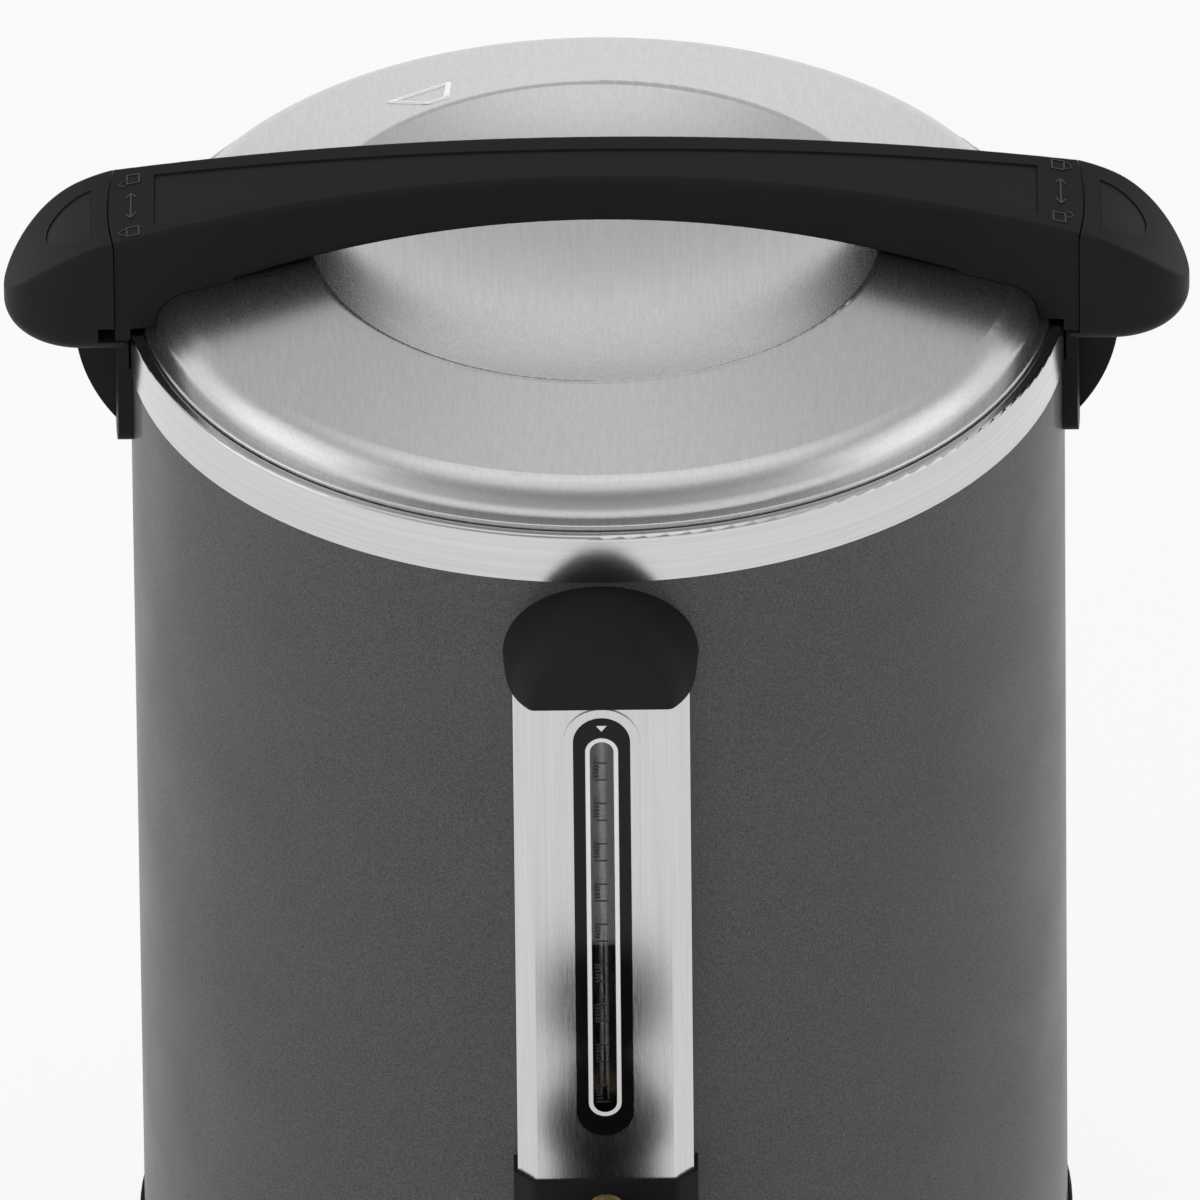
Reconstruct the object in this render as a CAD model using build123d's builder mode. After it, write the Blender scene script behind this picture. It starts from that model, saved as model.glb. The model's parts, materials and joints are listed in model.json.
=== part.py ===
from build123d import *
import os
from math import atan2, cos, pi, radians, sin, sqrt, tan

os.makedirs("parts", exist_ok=True)

# Shared fits
overrun = 6.0
seat_gap = 0.1
slide_gap = 0.4

# Shell
shell_radius = 133.0
shell_sheet = 0.8
rim_height = 366.0

# Rim band
band_depth = 14.1
band_sheet = 0.6
lip_width = 3.2
lip_thickness = 1.2
lip_rise = 1.0
lip_round = 0.9

# Inner tank
tank_jacket = 10.4
tank_sheet = 0.8
tank_floor = 110.0
tank_corner = 8.0
well_radius = 20.0
well_depth = 7.0

# Lid
lid_sheet = 0.8
hem_height = 2.0
hem_width = 3.1
crown_rise = 20.9
ring_width = 45.0
bowl_depth = 14.0
bowl_edge_round = 4.0
cone_slope = 12.5
shoulder_round = 10.0

# Lid handle
bridge_rise = 45.4
bridge_end_rise = 30.1
bridge_overhang = 4.8
bridge_thickness = 14.9
bridge_half_width = 12.0
bridge_end_half_width = 22.3
arch_setback = 36.5
arch_spring_rise = 15.6
bridge_edge_round = 1.4
arch_edge_round = 2.8
skirt_drop = 1.3
skirt_gap = 0.5
tab_reach = 4.5
tab_height = 4.1
tab_half_width = 15.0
inlay_setback = 13.0
inlay_half_width = 4.4
inlay_end_half_width = 13.5
inlay_recess = 0.5
inlay_thickness = 1.2
lid_screw_setback = 28.5
lid_screw_spread = 11.0
lid_screw_radius = 2.0
lid_screw_length = 9.0
lid_screw_head_radius = 4.0
lid_screw_head_height = 2.2

# Side handles
grip_length = 30.1
grip_nose_radius = 22.3
grip_shoulder_setback = 11.0
grip_shoulder_rise = 19.4
grip_tip_drop = 12.0
shelf_thickness = 4.5
grip_under_round = 7.6
grip_edge_round = 2.6
bracket_drop = 40.6
bracket_thickness = 4.2
bracket_half_width = 15.0
bracket_corner = 6.0
gusset_half_width = 2.5
gusset_depth = 15.3
gusset_knee_drop = 24.0
gusset_knee_depth = 12.3
pad_half_width = 13.0
pad_inset = 4.5
pad_length = 13.0
pad_recess = 0.4
pad_thickness = 1.0
grip_screw_spread = 9.0
grip_screw_drop = 30.0
grip_screw_radius = 2.0
grip_screw_bite = 2.6
grip_screw_head_radius = 3.8
grip_screw_head_height = 2.4

# Gauge channel and cap
gauge_depth = 14.0
channel_half_width = 20.0
channel_root_half_width = 25.0
channel_bevel = 5.5
channel_sheet = 0.8
channel_bend = 1.4
channel_overlap = 4.0
cap_drop = 39.4
cap_half_width = 27.7
cap_top_drop = 15.6
cap_shoulder_depth = 11.7
cap_shoulder_half_width = 26.6
cap_shoulder_top_drop = 16.1
cap_nose_depth = 21.5
cap_nose_half_width = 24.0
cap_nose_top_drop = 17.3
cap_depth = 28.0
cap_front_half_width = 19.8
cap_front_top_drop = 19.6
cap_edge_round = 2.5
slot_top_drop = 50.6
slot_foot_rise = 15.5
slot_width = 16.0
slot_ridge_width = 21.7
slot_ridge_height = 0.5
bezel_opening = 9.7
bezel_end_extra = 3.2
bezel_flange_width = 20.0
bezel_flange = 1.2
bezel_proud = 0.2
window_thickness = 2.0
tube_radius = 3.6
tube_wall = 1.2
tube_standoff = 7.8
tube_socket_depth = 12.0
gauge_seal_radius = 4.9
gauge_seal_height = 6.0
back_strip_half_width = 11.0
back_strip_thickness = 0.8

# Tap body
tap_height = 142.5
tap_block_rise = 18.0
tap_block_drop = 16.0
tap_block_margin = 1.2
tap_block_round = 4.0
tap_bore = 5.0
shank_radius = 8.0
shank_inset = 11.0
chamber_standoff = 47.0
chamber_radius = 15.0
chamber_bore = 10.0
chamber_rise = 18.6
seat_drop = 12.0
neck_radius = 11.0
spout_radius = 8.6
spout_bore = 5.5
spout_drop = 33.0
chamber_drop = 19.0
gauge_port = 2.0
spout_round = 1.0
chamber_round = 4.0
washer_radius = 13.5
washer_thickness = 2.2
nut_flats = 27.0
nut_thickness = 7.0

# Tap bonnet, lever and valve
bonnet_wall = 2.0
bonnet_skirt = 6.4
bonnet_roof = 3.0
bonnet_rib_count = 18
bonnet_rib_radius = 0.8
ear_inner = 7.4
ear_thickness = 4.0
ear_radius = 5.5
pivot_setback = 9.5
pivot_rise = 4.8
pin_radius = 2.0
pin_clearance = 0.05
lever_hub_radius = 4.4
lever_hub_half_width = 7.0
lever_tilt = 40.0
lever_length = 39.0
lever_half_width = 17.0
lever_thickness = 5.0
lever_neck_length = 8.5
lever_corner = 13.0
lever_rim = 4.0
lever_dish = 1.2
lever_round = 1.6
fork_reach = 13.5
fork_rise = 1.6
fork_thickness = 3.6
fork_slot_half_width = 3.6
fork_half_width = 6.4
stem_radius = 3.0
stem_head_radius = 4.4
stem_head_height = 3.0
stem_collar_radius = 7.0
stem_collar_height = 2.0
valve_seal_radius = 8.0
valve_seal_height = 4.5
spring_radius = 6.4
spring_wire = 1.2

# Base
base_margin = 2.0
base_wall = 4.5
base_foot = 8.0
base_height = 60.0
base_taper = 0.6
base_edge_round = 2.0
base_top_round = 0.6
shell_seat_depth = 6.0
lug_radius = 6.0
lug_height = 18.0
lug_setback = 5.5
lug_count = 4
lug_turn = 45.0
cover_sheet = 1.5
vent_width = 3.0
vent_length = 34.0
vent_pitch = 8.0
vent_count = 6
foot_width = 19.0
foot_setback = 23.0
foot_round = 1.5
cover_screw_radius = 2.0
cover_screw_length = 9.0
cover_screw_head_radius = 3.8
cover_screw_head_height = 2.2

# Control panel, switch and lamps
panel_width = 66.0
panel_height = 34.0
panel_standoff = 4.0
panel_sheet = 3.0
panel_depth = 14.0
panel_corner = 5.0
panel_rise = 34.0
switch_width = 21.0
switch_height = 15.0
switch_flange = 1.4
switch_body_width = 18.6
switch_body_height = 12.8
switch_depth = 14.0
rocker_width = 15.4
rocker_height = 9.6
rocker_pocket_gap = 0.6
rocker_throw = 18.0
rocker_depth = 3.2
rocker_proud = 2.6
rocker_dip = 1.3
rocker_pin_radius = 1.0
lamp_spread = 22.0
lamp_radius = 4.0
lamp_flange_radius = 5.2
lamp_flange = 1.0
lamp_proud = 1.2
lamp_length = 11.0

# Heater and wiring parts
heater_plate_radius = 84.0
heater_plate_gap = 1.2
heater_plate_thickness = 5.0
element_circle = 60.0
element_radius = 3.5
element_sweep = 330.0
element_leg = 16.0
thermostat_radius = 9.0
thermostat_height = 9.0
thermostat_circle = 38.0
fuse_radius = 2.2
fuse_length = 16.0
fuse_clip_width = 8.0
fuse_circle = 38.0
block_width = 30.0
block_depth = 14.0
block_height = 12.0
block_offset = 70.0
block_screw_radius = 2.4
block_screw_count = 3

# Cord gland
gland_rise = 26.0
gland_radius = 7.0
gland_flange_radius = 9.5
gland_flange = 2.5
gland_bore = 3.6
gland_tail = 9.0

# Percolator
pump_tube_radius = 4.5
pump_tube_wall = 0.8
pump_tube_top_drop = 27.0
pump_foot_radius = 17.0
pump_foot_height = 14.0
pump_foot_wall = 1.2
pump_foot_lift = 0.3
pump_port_width = 5.0
pump_port_height = 3.0
pump_port_count = 4
basket_radius = 58.0
basket_height = 66.0
basket_sheet = 0.8
basket_top_drop = 36.0
basket_corner = 6.0
basket_hole_radius = 1.6
basket_hole_rings = 4
basket_hole_count = 8
basket_hole_first = 13.0
basket_hole_pitch = 11.0
basket_sleeve_height = 12.0
collar_radius = 8.0
collar_height = 4.0
spreader_lip = 3.0
spreader_drop = 4.0
spreader_hole_radius = 1.5
spreader_hole_count = 6

# Heights and radii that follow from the sizes above
lip_top = rim_height + lip_rise
lip_foot = lip_top - lip_thickness
flange_foot = lip_foot - tank_sheet
band_inner = shell_radius + seat_gap
band_radius = band_inner + band_sheet
lip_inner = band_radius - lip_width
shell_inner = shell_radius - shell_sheet
shell_foot = base_height - shell_seat_depth
tank_outer = shell_inner - tank_jacket
tank_radius = tank_outer - tank_sheet
floor_under = tank_floor - tank_sheet
lid_radius = lip_inner - slide_gap
lid_wall = lid_radius - hem_width
hem_foot = lip_foot + slide_gap
hem_top = hem_foot + hem_height
crown = rim_height + crown_rise
bowl_radius = lid_wall - ring_width
shoulder = crown - ring_width * tan(radians(cone_slope))
bowl_floor = crown - bowl_depth
skirt_inner = band_radius + skirt_gap
skirt_foot = rim_height - skirt_drop
bridge_reach = band_radius + bridge_overhang
arch_half_span = bridge_reach - arch_setback
inlay_half_length = bridge_reach - inlay_setback
lid_screw_span = bridge_reach - lid_screw_setback
tab_radius = bridge_reach + tab_reach
bridge_top = rim_height + bridge_rise
grip_inner = bridge_reach + slide_gap
grip_reach = bridge_reach + grip_length
grip_shoulder_reach = grip_reach - grip_shoulder_setback
groove_foot = skirt_foot - slide_gap
groove_roof = skirt_foot + tab_height + slide_gap
groove_radius = tab_radius + slide_gap
gauge_front = shell_radius + gauge_depth
channel_root = sqrt(shell_radius**2 - channel_root_half_width**2) + seat_gap
channel_foot = tap_height + tap_block_rise
cap_foot = rim_height - cap_drop
cap_shoulder = shell_radius + cap_shoulder_depth
cap_nose = shell_radius + cap_nose_depth
cap_front = shell_radius + cap_depth
channel_top = cap_foot + channel_overlap
slot_top = rim_height - slot_top_drop
slot_foot = channel_foot + slot_foot_rise
slot_length = slot_top - slot_foot
slot_middle = (slot_top + slot_foot) / 2
tube_offset = shell_radius + tube_standoff
tube_foot = channel_foot - tube_socket_depth
shank_reach = tank_radius - shank_inset
chamber_offset = shell_radius + chamber_standoff
pivot_offset = chamber_offset + pivot_setback
bonnet_foot = tap_height + chamber_rise - bonnet_skirt
bonnet_top = tap_height + chamber_rise + seat_gap + bonnet_roof
bonnet_radius = chamber_radius + seat_gap + bonnet_wall
valve_seat = tap_height - seat_drop
stem_foot = valve_seat + seat_gap + valve_seal_height
pivot_height = bonnet_top + pivot_rise
stem_head_foot = pivot_height + fork_rise + slide_gap
base_radius = shell_radius + base_margin
base_inner = base_radius - base_wall
lug_circle = base_inner - lug_setback
foot_radius = base_radius - foot_setback
foot_inner = foot_radius - foot_width
panel_front = base_radius + panel_standoff
base_top_radius = base_radius - base_taper
cover_top = base_foot + cover_sheet
heater_foot = floor_under - heater_plate_thickness
basket_top = rim_height - basket_top_drop
basket_foot = basket_top - basket_height


def corner(sketch, point):
    return sketch.vertices().sort_by_distance(point)[0]


def save(piece, name):
    piece.part.label = name
    export_step(piece.part, f"parts/{name}.step")


def arch_radius(half_span, rise):
    return (half_span**2 + rise**2) / (2 * rise)


def bowl_height(reach):
    radius = arch_radius(bowl_radius, bowl_depth)
    return bowl_floor + radius - sqrt(radius**2 - reach**2)


def bridge_height(reach, depth=0.0):
    radius = arch_radius(bridge_reach, bridge_rise - bridge_end_rise)
    return bridge_top - radius + sqrt((radius - depth) ** 2 - reach**2)


# Outer shell: plain painted tube, open for the tap's shank and the handle screws
with BuildPart() as outer_shell:
    with BuildSketch(Plane.XY.offset(shell_foot)):
        Circle(shell_radius)
        Circle(shell_inner, mode=Mode.SUBTRACT)
    extrude(amount=flange_foot - shell_foot)
    with BuildSketch(Plane.XZ.offset(shell_radius - overrun)):
        with Locations((0, tap_height)):
            Circle(shank_radius + slide_gap)
    extrude(amount=2 * overrun, mode=Mode.SUBTRACT)
    with BuildSketch(Plane.YZ):
        with Locations((0, rim_height - grip_screw_drop)):
            with GridLocations(2 * grip_screw_spread, 0, 2, 1):
                Circle(grip_screw_radius + seat_gap)
    extrude(amount=shell_radius + overrun, both=True, mode=Mode.SUBTRACT)
save(outer_shell, "outer_shell")

# Rim band: bright sleeve round the top of the shell with an inward lip
with BuildPart() as rim_band:
    with BuildSketch(Plane.XZ) as band_profile:
        with BuildLine():
            Polyline(
                (band_inner, rim_height - band_depth),
                (band_radius, rim_height - band_depth),
                (band_radius, lip_top),
                (lip_inner, lip_top),
                (lip_inner, lip_foot),
                (band_inner, lip_foot),
                close=True,
            )
        make_face()
        fillet(corner(band_profile, (band_radius, lip_top)), lip_round)
        fillet(corner(band_profile, (lip_inner, lip_top)), lip_thickness / 2)
    revolve(axis=Axis.Z)
save(rim_band, "rim_band")

# Inner tank: drawn pot with an outward flange on the shell and a well for the pump
with BuildPart() as inner_tank:
    with BuildSketch(Plane.XZ) as tank_profile:
        with BuildLine():
            Polyline(
                (0, tank_floor - well_depth),
                (well_radius, tank_floor - well_depth),
                (well_radius, tank_floor),
                (tank_radius, tank_floor),
                (tank_radius, lip_foot),
                (shell_radius, lip_foot),
                (shell_radius, flange_foot),
                (tank_outer, flange_foot),
                (tank_outer, floor_under),
                (well_radius + tank_sheet, floor_under),
                (well_radius + tank_sheet, floor_under - well_depth),
                (0, floor_under - well_depth),
                close=True,
            )
        make_face()
        fillet(corner(tank_profile, (tank_radius, tank_floor)), tank_corner)
        fillet(corner(tank_profile, (tank_outer, floor_under)), tank_corner + tank_sheet)
    revolve(axis=Axis.Z)
    with BuildSketch(Plane.XZ.offset(tank_radius - overrun)):
        with Locations((0, tap_height)):
            Circle(shank_radius + slide_gap)
    extrude(amount=2 * overrun, mode=Mode.SUBTRACT)
save(inner_tank, "inner_tank")

# Lid: pressed sheet with hem, shoulder, sloping ring and dished centre
with BuildPart() as lid:
    with BuildSketch(Plane.XZ) as lid_profile:
        with BuildLine():
            ThreePointArc(
                (0, bowl_floor), (bowl_radius / 2, bowl_height(bowl_radius / 2)), (bowl_radius, crown)
            )
            Polyline(
                (bowl_radius, crown),
                (lid_wall, shoulder),
                (lid_wall, hem_top),
                (lid_radius, hem_top),
                (lid_radius, hem_foot),
                (lid_wall - lid_sheet, hem_foot),
                (lid_wall - lid_sheet, shoulder - lid_sheet),
                (bowl_radius, crown - lid_sheet),
            )
            ThreePointArc(
                (bowl_radius, crown - lid_sheet),
                (bowl_radius / 2, bowl_height(bowl_radius / 2) - lid_sheet),
                (0, bowl_floor - lid_sheet),
            )
            Line((0, bowl_floor - lid_sheet), (0, bowl_floor))
        make_face()
        fillet(corner(lid_profile, (lid_wall, shoulder)), shoulder_round)
        fillet(corner(lid_profile, (lid_wall - lid_sheet, shoulder - lid_sheet)), shoulder_round - lid_sheet)
        fillet(corner(lid_profile, (bowl_radius, crown)), bowl_edge_round)
        fillet(corner(lid_profile, (bowl_radius, crown - lid_sheet)), bowl_edge_round - lid_sheet)
        fillet(corner(lid_profile, (lid_radius, hem_top)), hem_height / 3)
    revolve(axis=Axis.Z)
    with BuildSketch(Plane.XY.offset(rim_height)):
        with GridLocations(2 * lid_screw_span, 2 * lid_screw_spread, 2, 2):
            Circle(lid_screw_radius + seat_gap)
    extrude(amount=crown_rise + overrun, mode=Mode.SUBTRACT)
save(lid, "lid")


# Plan outline that is waisted in the middle and wide at both ends
def waisted(half_length, half_width, end_half_width):
    with BuildSketch() as plan:
        with BuildLine():
            far = ThreePointArc(
                (-half_length, end_half_width), (0, half_width), (half_length, end_half_width)
            )
            Line(far @ 1, (half_length, -end_half_width))
            near = ThreePointArc(
                (half_length, -end_half_width), (0, -half_width), (-half_length, -end_half_width)
            )
            Line(near @ 1, far @ 0)
        make_face()
    return plan.sketch


# Lid handle: arched bridge that sits on the lid and reaches over the rim with a tab at each end
with BuildPart() as lid_handle:
    with BuildSketch(Plane.XZ):
        with BuildLine():
            top = ThreePointArc(
                (-bridge_reach - overrun, bridge_height(bridge_reach + overrun)),
                (0, bridge_top),
                (bridge_reach + overrun, bridge_height(bridge_reach + overrun)),
            )
            Polyline(
                top @ 1,
                (bridge_reach + overrun, skirt_foot),
                (arch_half_span, skirt_foot),
                (arch_half_span, rim_height + arch_spring_rise),
            )
            arch = ThreePointArc(
                (arch_half_span, rim_height + arch_spring_rise),
                (0, bridge_top - bridge_thickness),
                (-arch_half_span, rim_height + arch_spring_rise),
            )
            Polyline(
                arch @ 1,
                (-arch_half_span, skirt_foot),
                (-bridge_reach - overrun, skirt_foot),
                top @ 0,
            )
        make_face()
    extrude(amount=bridge_end_half_width + overrun, both=True)
    with BuildSketch(Plane.XY.offset(skirt_foot)):
        add(waisted(bridge_reach + overrun, bridge_half_width, bridge_end_half_width))
    extrude(amount=bridge_rise + overrun, mode=Mode.INTERSECT)
    with BuildSketch(Plane.XY.offset(skirt_foot)):
        Circle(bridge_reach)
    extrude(amount=bridge_rise + overrun, mode=Mode.INTERSECT)
    fillet(lid_handle.edges().filter_by(lambda e: e.length > 2 * inlay_half_length), bridge_edge_round)
    arch_reach = arch_half_span + seat_gap
    arch_edges = lid_handle.edges().filter_by_position(Axis.X, -arch_reach, arch_reach)
    arch_edges = arch_edges.filter_by(lambda e: abs(e.center().Y) > inlay_half_width)
    fillet(arch_edges.filter_by(lambda e: e.center().Z < bridge_top - bridge_edge_round), arch_edge_round)
    with BuildSketch(Plane.XZ) as keep_out:
        with BuildLine():
            Polyline(
                (0, hem_foot - overrun),
                (skirt_inner, hem_foot - overrun),
                (skirt_inner, hem_top + seat_gap),
                (lid_wall + seat_gap, hem_top + seat_gap),
                (lid_wall + seat_gap, shoulder + seat_gap),
                (bowl_radius, crown + seat_gap),
                (0, crown + seat_gap),
                close=True,
            )
        make_face()
        fillet(corner(keep_out, (lid_wall + seat_gap, shoulder + seat_gap)), shoulder_round)
    revolve(axis=Axis.Z, mode=Mode.SUBTRACT)
    for side in (1, -1):
        with BuildSketch(Plane.XY.offset(skirt_foot)):
            with Locations((side * bridge_reach, 0)):
                Rectangle(2 * tab_reach, 2 * tab_half_width)
            Circle(tab_radius, mode=Mode.INTERSECT)
            Circle(skirt_inner, mode=Mode.SUBTRACT)
        extrude(amount=tab_height)
    with BuildSketch(Plane.XZ):
        with BuildLine():
            groove = ThreePointArc(
                (-inlay_half_length, bridge_height(inlay_half_length, inlay_thickness)),
                (0, bridge_top - inlay_thickness),
                (inlay_half_length, bridge_height(inlay_half_length, inlay_thickness)),
            )
            Polyline(
                groove @ 1,
                (inlay_half_length, bridge_top + overrun),
                (-inlay_half_length, bridge_top + overrun),
                groove @ 0,
            )
        make_face()
    inlay_band = extrude(amount=bridge_end_half_width, both=True, mode=Mode.PRIVATE)
    with BuildSketch(Plane.XY.offset(rim_height)):
        add(waisted(inlay_half_length, inlay_half_width, inlay_end_half_width))
    inlay_plan = extrude(amount=bridge_rise + overrun, mode=Mode.PRIVATE)
    add(inlay_band & inlay_plan, mode=Mode.SUBTRACT)
    with BuildSketch(Plane.XY.offset(rim_height)):
        with GridLocations(2 * lid_screw_span, 2 * lid_screw_spread, 2, 2):
            Circle(lid_screw_radius)
    extrude(amount=shoulder - rim_height + lid_screw_length, mode=Mode.SUBTRACT)
save(lid_handle, "lid_handle")

# Lid handle inlay: thin strip laid in the bridge's recess
with BuildPart() as lid_handle_inlay:
    inlay_depth = inlay_thickness - seat_gap
    inlay_end = inlay_half_length - seat_gap
    with BuildSketch(Plane.XZ):
        with BuildLine():
            strip_top = ThreePointArc(
                (-inlay_end, bridge_height(inlay_end, inlay_recess)),
                (0, bridge_top - inlay_recess),
                (inlay_end, bridge_height(inlay_end, inlay_recess)),
            )
            strip_foot = ThreePointArc(
                (inlay_end, bridge_height(inlay_end, inlay_depth)),
                (0, bridge_top - inlay_depth),
                (-inlay_end, bridge_height(inlay_end, inlay_depth)),
            )
            Line(strip_top @ 1, strip_foot @ 0)
            Line(strip_foot @ 1, strip_top @ 0)
        make_face()
    extrude(amount=bridge_end_half_width, both=True)
    with BuildSketch(Plane.XY.offset(rim_height)):
        add(waisted(inlay_end, inlay_half_width - seat_gap, inlay_end_half_width - seat_gap))
    extrude(amount=bridge_rise + overrun, mode=Mode.INTERSECT)
save(lid_handle_inlay, "lid_handle_inlay")


# Height of the lid's upper face on its sloping ring
def ring_height(reach):
    return crown - (reach - bowl_radius) * tan(radians(cone_slope))


# Lid handle screws: driven up through the lid from below
lid_screw_seat = ring_height(sqrt(lid_screw_span**2 + lid_screw_spread**2) + lid_screw_head_radius)
lid_screw_under = lid_screw_seat - lid_sheet - seat_gap - lid_screw_head_height
with BuildPart() as lid_handle_screws:
    with BuildSketch(Plane.XY.offset(lid_screw_under)):
        with GridLocations(2 * lid_screw_span, 2 * lid_screw_spread, 2, 2):
            Circle(lid_screw_head_radius)
    extrude(amount=lid_screw_head_height)
    with BuildSketch(Plane.XY.offset(lid_screw_under)):
        with GridLocations(2 * lid_screw_span, 2 * lid_screw_spread, 2, 2):
            Circle(lid_screw_radius - seat_gap)
    extrude(amount=lid_screw_length)
save(lid_handle_screws, "lid_handle_screws")

# Side handle: grip with a groove for the lid's tab, and a bracket leg down the shell
grip_floor = groove_foot - shelf_thickness
grip_nose_centre = grip_reach - grip_nose_radius
shelf_inner = band_radius + slide_gap
bracket_inner = shell_radius + seat_gap
gusset_reach = bracket_inner + gusset_depth
gusset_knee_reach = bracket_inner + gusset_knee_depth
bracket_foot = rim_height - bracket_drop


# Curve along the top of the grip, lowered by a given drop
def grip_crest(drop):
    return ThreePointArc(
        (shelf_inner, bridge_height(shelf_inner) - drop),
        (grip_shoulder_reach, rim_height + grip_shoulder_rise - drop),
        (grip_reach + overrun, rim_height - grip_tip_drop - drop),
    )


# Half-round plan of the thumb pad, with its straight side to the lid
def pad_plan(inset):
    pad_start = grip_inner + pad_inset
    with BuildSketch() as plan:
        with Locations((pad_start + inset, 0)):
            Ellipse(pad_length - 2 * inset, pad_half_width - inset)
        with Locations((pad_start + inset, 0)):
            Rectangle(
                pad_length, 2 * pad_half_width, align=(Align.MIN, Align.CENTER), mode=Mode.INTERSECT
            )
    return plan.sketch


with BuildPart() as side_handle_right:
    with BuildSketch(Plane.XZ):
        with BuildLine():
            crest = grip_crest(0)
            Polyline(
                crest @ 1,
                (grip_reach + overrun, grip_floor - grip_tip_drop),
                (shelf_inner, grip_floor - grip_tip_drop),
                crest @ 0,
            )
        make_face()
    extrude(amount=grip_nose_radius + overrun, both=True)
    with BuildSketch(Plane.XY.offset(grip_floor)):
        with Locations((grip_nose_centre, 0)):
            Circle(grip_nose_radius)
            Rectangle(grip_nose_centre, 2 * grip_nose_radius, align=(Align.MAX, Align.CENTER))
    extrude(amount=bridge_rise + overrun, mode=Mode.INTERSECT)
    crest_edges = side_handle_right.faces().sort_by(Axis.Z)[-1].edges()
    fillet(crest_edges.filter_by(lambda e: e.center().X > grip_inner), grip_edge_round)
    nose_edges = side_handle_right.faces().sort_by(Axis.Z)[0].edges()
    fillet(nose_edges.filter_by(lambda e: e.center().X > grip_inner), grip_under_round)
    with BuildSketch(Plane.XY.offset(groove_foot)):
        Circle(grip_inner)
    extrude(amount=bridge_rise + overrun, mode=Mode.SUBTRACT)
    with BuildSketch(Plane.XY.offset(groove_foot)):
        Circle(groove_radius)
        with Locations((0, -tab_half_width - slide_gap)):
            Rectangle(
                2 * groove_radius, 2 * groove_radius, align=(Align.CENTER, Align.MIN), mode=Mode.INTERSECT
            )
    extrude(amount=groove_roof - groove_foot, mode=Mode.SUBTRACT)
    with BuildSketch(Plane.XY.offset(bracket_foot)):
        Circle(bracket_inner + bracket_thickness)
        Circle(bracket_inner, mode=Mode.SUBTRACT)
        with Locations((bracket_inner, 0)):
            Rectangle(2 * overrun, 2 * bracket_half_width, mode=Mode.INTERSECT)
    extrude(amount=grip_floor + shelf_thickness - bracket_foot)
    fillet(side_handle_right.edges().filter_by(Axis.X).sort_by(Axis.Z)[:2], bracket_corner)
    with BuildSketch(Plane.XY.offset(rim_height - band_depth - slide_gap)):
        Circle(shelf_inner)
    extrude(amount=band_depth + overrun, mode=Mode.SUBTRACT)
    with BuildSketch(Plane.XZ):
        with BuildLine():
            gusset_root = bracket_inner + bracket_thickness / 2
            web_edge = ThreePointArc(
                (gusset_reach, groove_foot),
                (gusset_knee_reach, rim_height - gusset_knee_drop),
                (gusset_root, bracket_foot),
            )
            Polyline(web_edge @ 1, (gusset_root, groove_foot), web_edge @ 0)
        make_face()
    extrude(amount=gusset_half_width, both=True)
    with BuildSketch(Plane.YZ):
        with Locations((0, rim_height - grip_screw_drop)):
            with GridLocations(2 * grip_screw_spread, 0, 2, 1):
                Circle(grip_screw_radius)
    extrude(amount=bracket_inner + grip_screw_bite + seat_gap, mode=Mode.SUBTRACT)
    with BuildSketch(Plane.XZ):
        with BuildLine():
            sunk = grip_crest(pad_recess + pad_thickness)
            Polyline(sunk @ 1, (grip_reach + overrun, bridge_top), (shelf_inner, bridge_top), sunk @ 0)
        make_face()
    pad_band = extrude(amount=grip_nose_radius, both=True, mode=Mode.PRIVATE)
    with BuildSketch(Plane.XY.offset(rim_height)):
        add(pad_plan(0))
    pad_prism = extrude(amount=bridge_rise, mode=Mode.PRIVATE)
    add(pad_band & pad_prism, mode=Mode.SUBTRACT)
save(side_handle_right, "side_handle_right")

with BuildPart() as side_handle_left:
    add(side_handle_right.part.rotate(Axis.Z, 180))
save(side_handle_left, "side_handle_left")

# Thumb pads: half-round inserts in both grips
with BuildPart() as side_handle_pads:
    with BuildSketch(Plane.XZ):
        with BuildLine():
            pad_top = grip_crest(pad_recess)
            pad_foot = grip_crest(pad_recess + pad_thickness - seat_gap)
            Line(pad_top @ 1, pad_foot @ 1)
            Line(pad_top @ 0, pad_foot @ 0)
        make_face()
    extrude(amount=grip_nose_radius, both=True)
    with BuildSketch(Plane.XY.offset(rim_height)):
        add(pad_plan(seat_gap))
    extrude(amount=bridge_rise, mode=Mode.INTERSECT)
    add(side_handle_pads.part.rotate(Axis.Z, 180))
save(side_handle_pads, "side_handle_pads")

# Side handle screws: from inside the shell into the brackets
with BuildPart() as side_handle_screws:
    screw_seat = sqrt(shell_inner**2 - (grip_screw_spread + grip_screw_head_radius) ** 2) - seat_gap
    for side in (1, -1):
        screw_plane = Plane(
            (side * (screw_seat - grip_screw_head_height), 0, rim_height - grip_screw_drop),
            x_dir=(0, side, 0),
            z_dir=(side, 0, 0),
        )
        with BuildSketch(screw_plane):
            with GridLocations(2 * grip_screw_spread, 0, 2, 1):
                Circle(grip_screw_head_radius)
        extrude(amount=grip_screw_head_height)
        with BuildSketch(screw_plane):
            with GridLocations(2 * grip_screw_spread, 0, 2, 1):
                Circle(grip_screw_radius - seat_gap)
        extrude(amount=bracket_inner + grip_screw_bite + grip_screw_head_height - screw_seat)
save(side_handle_screws, "side_handle_screws")


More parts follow.
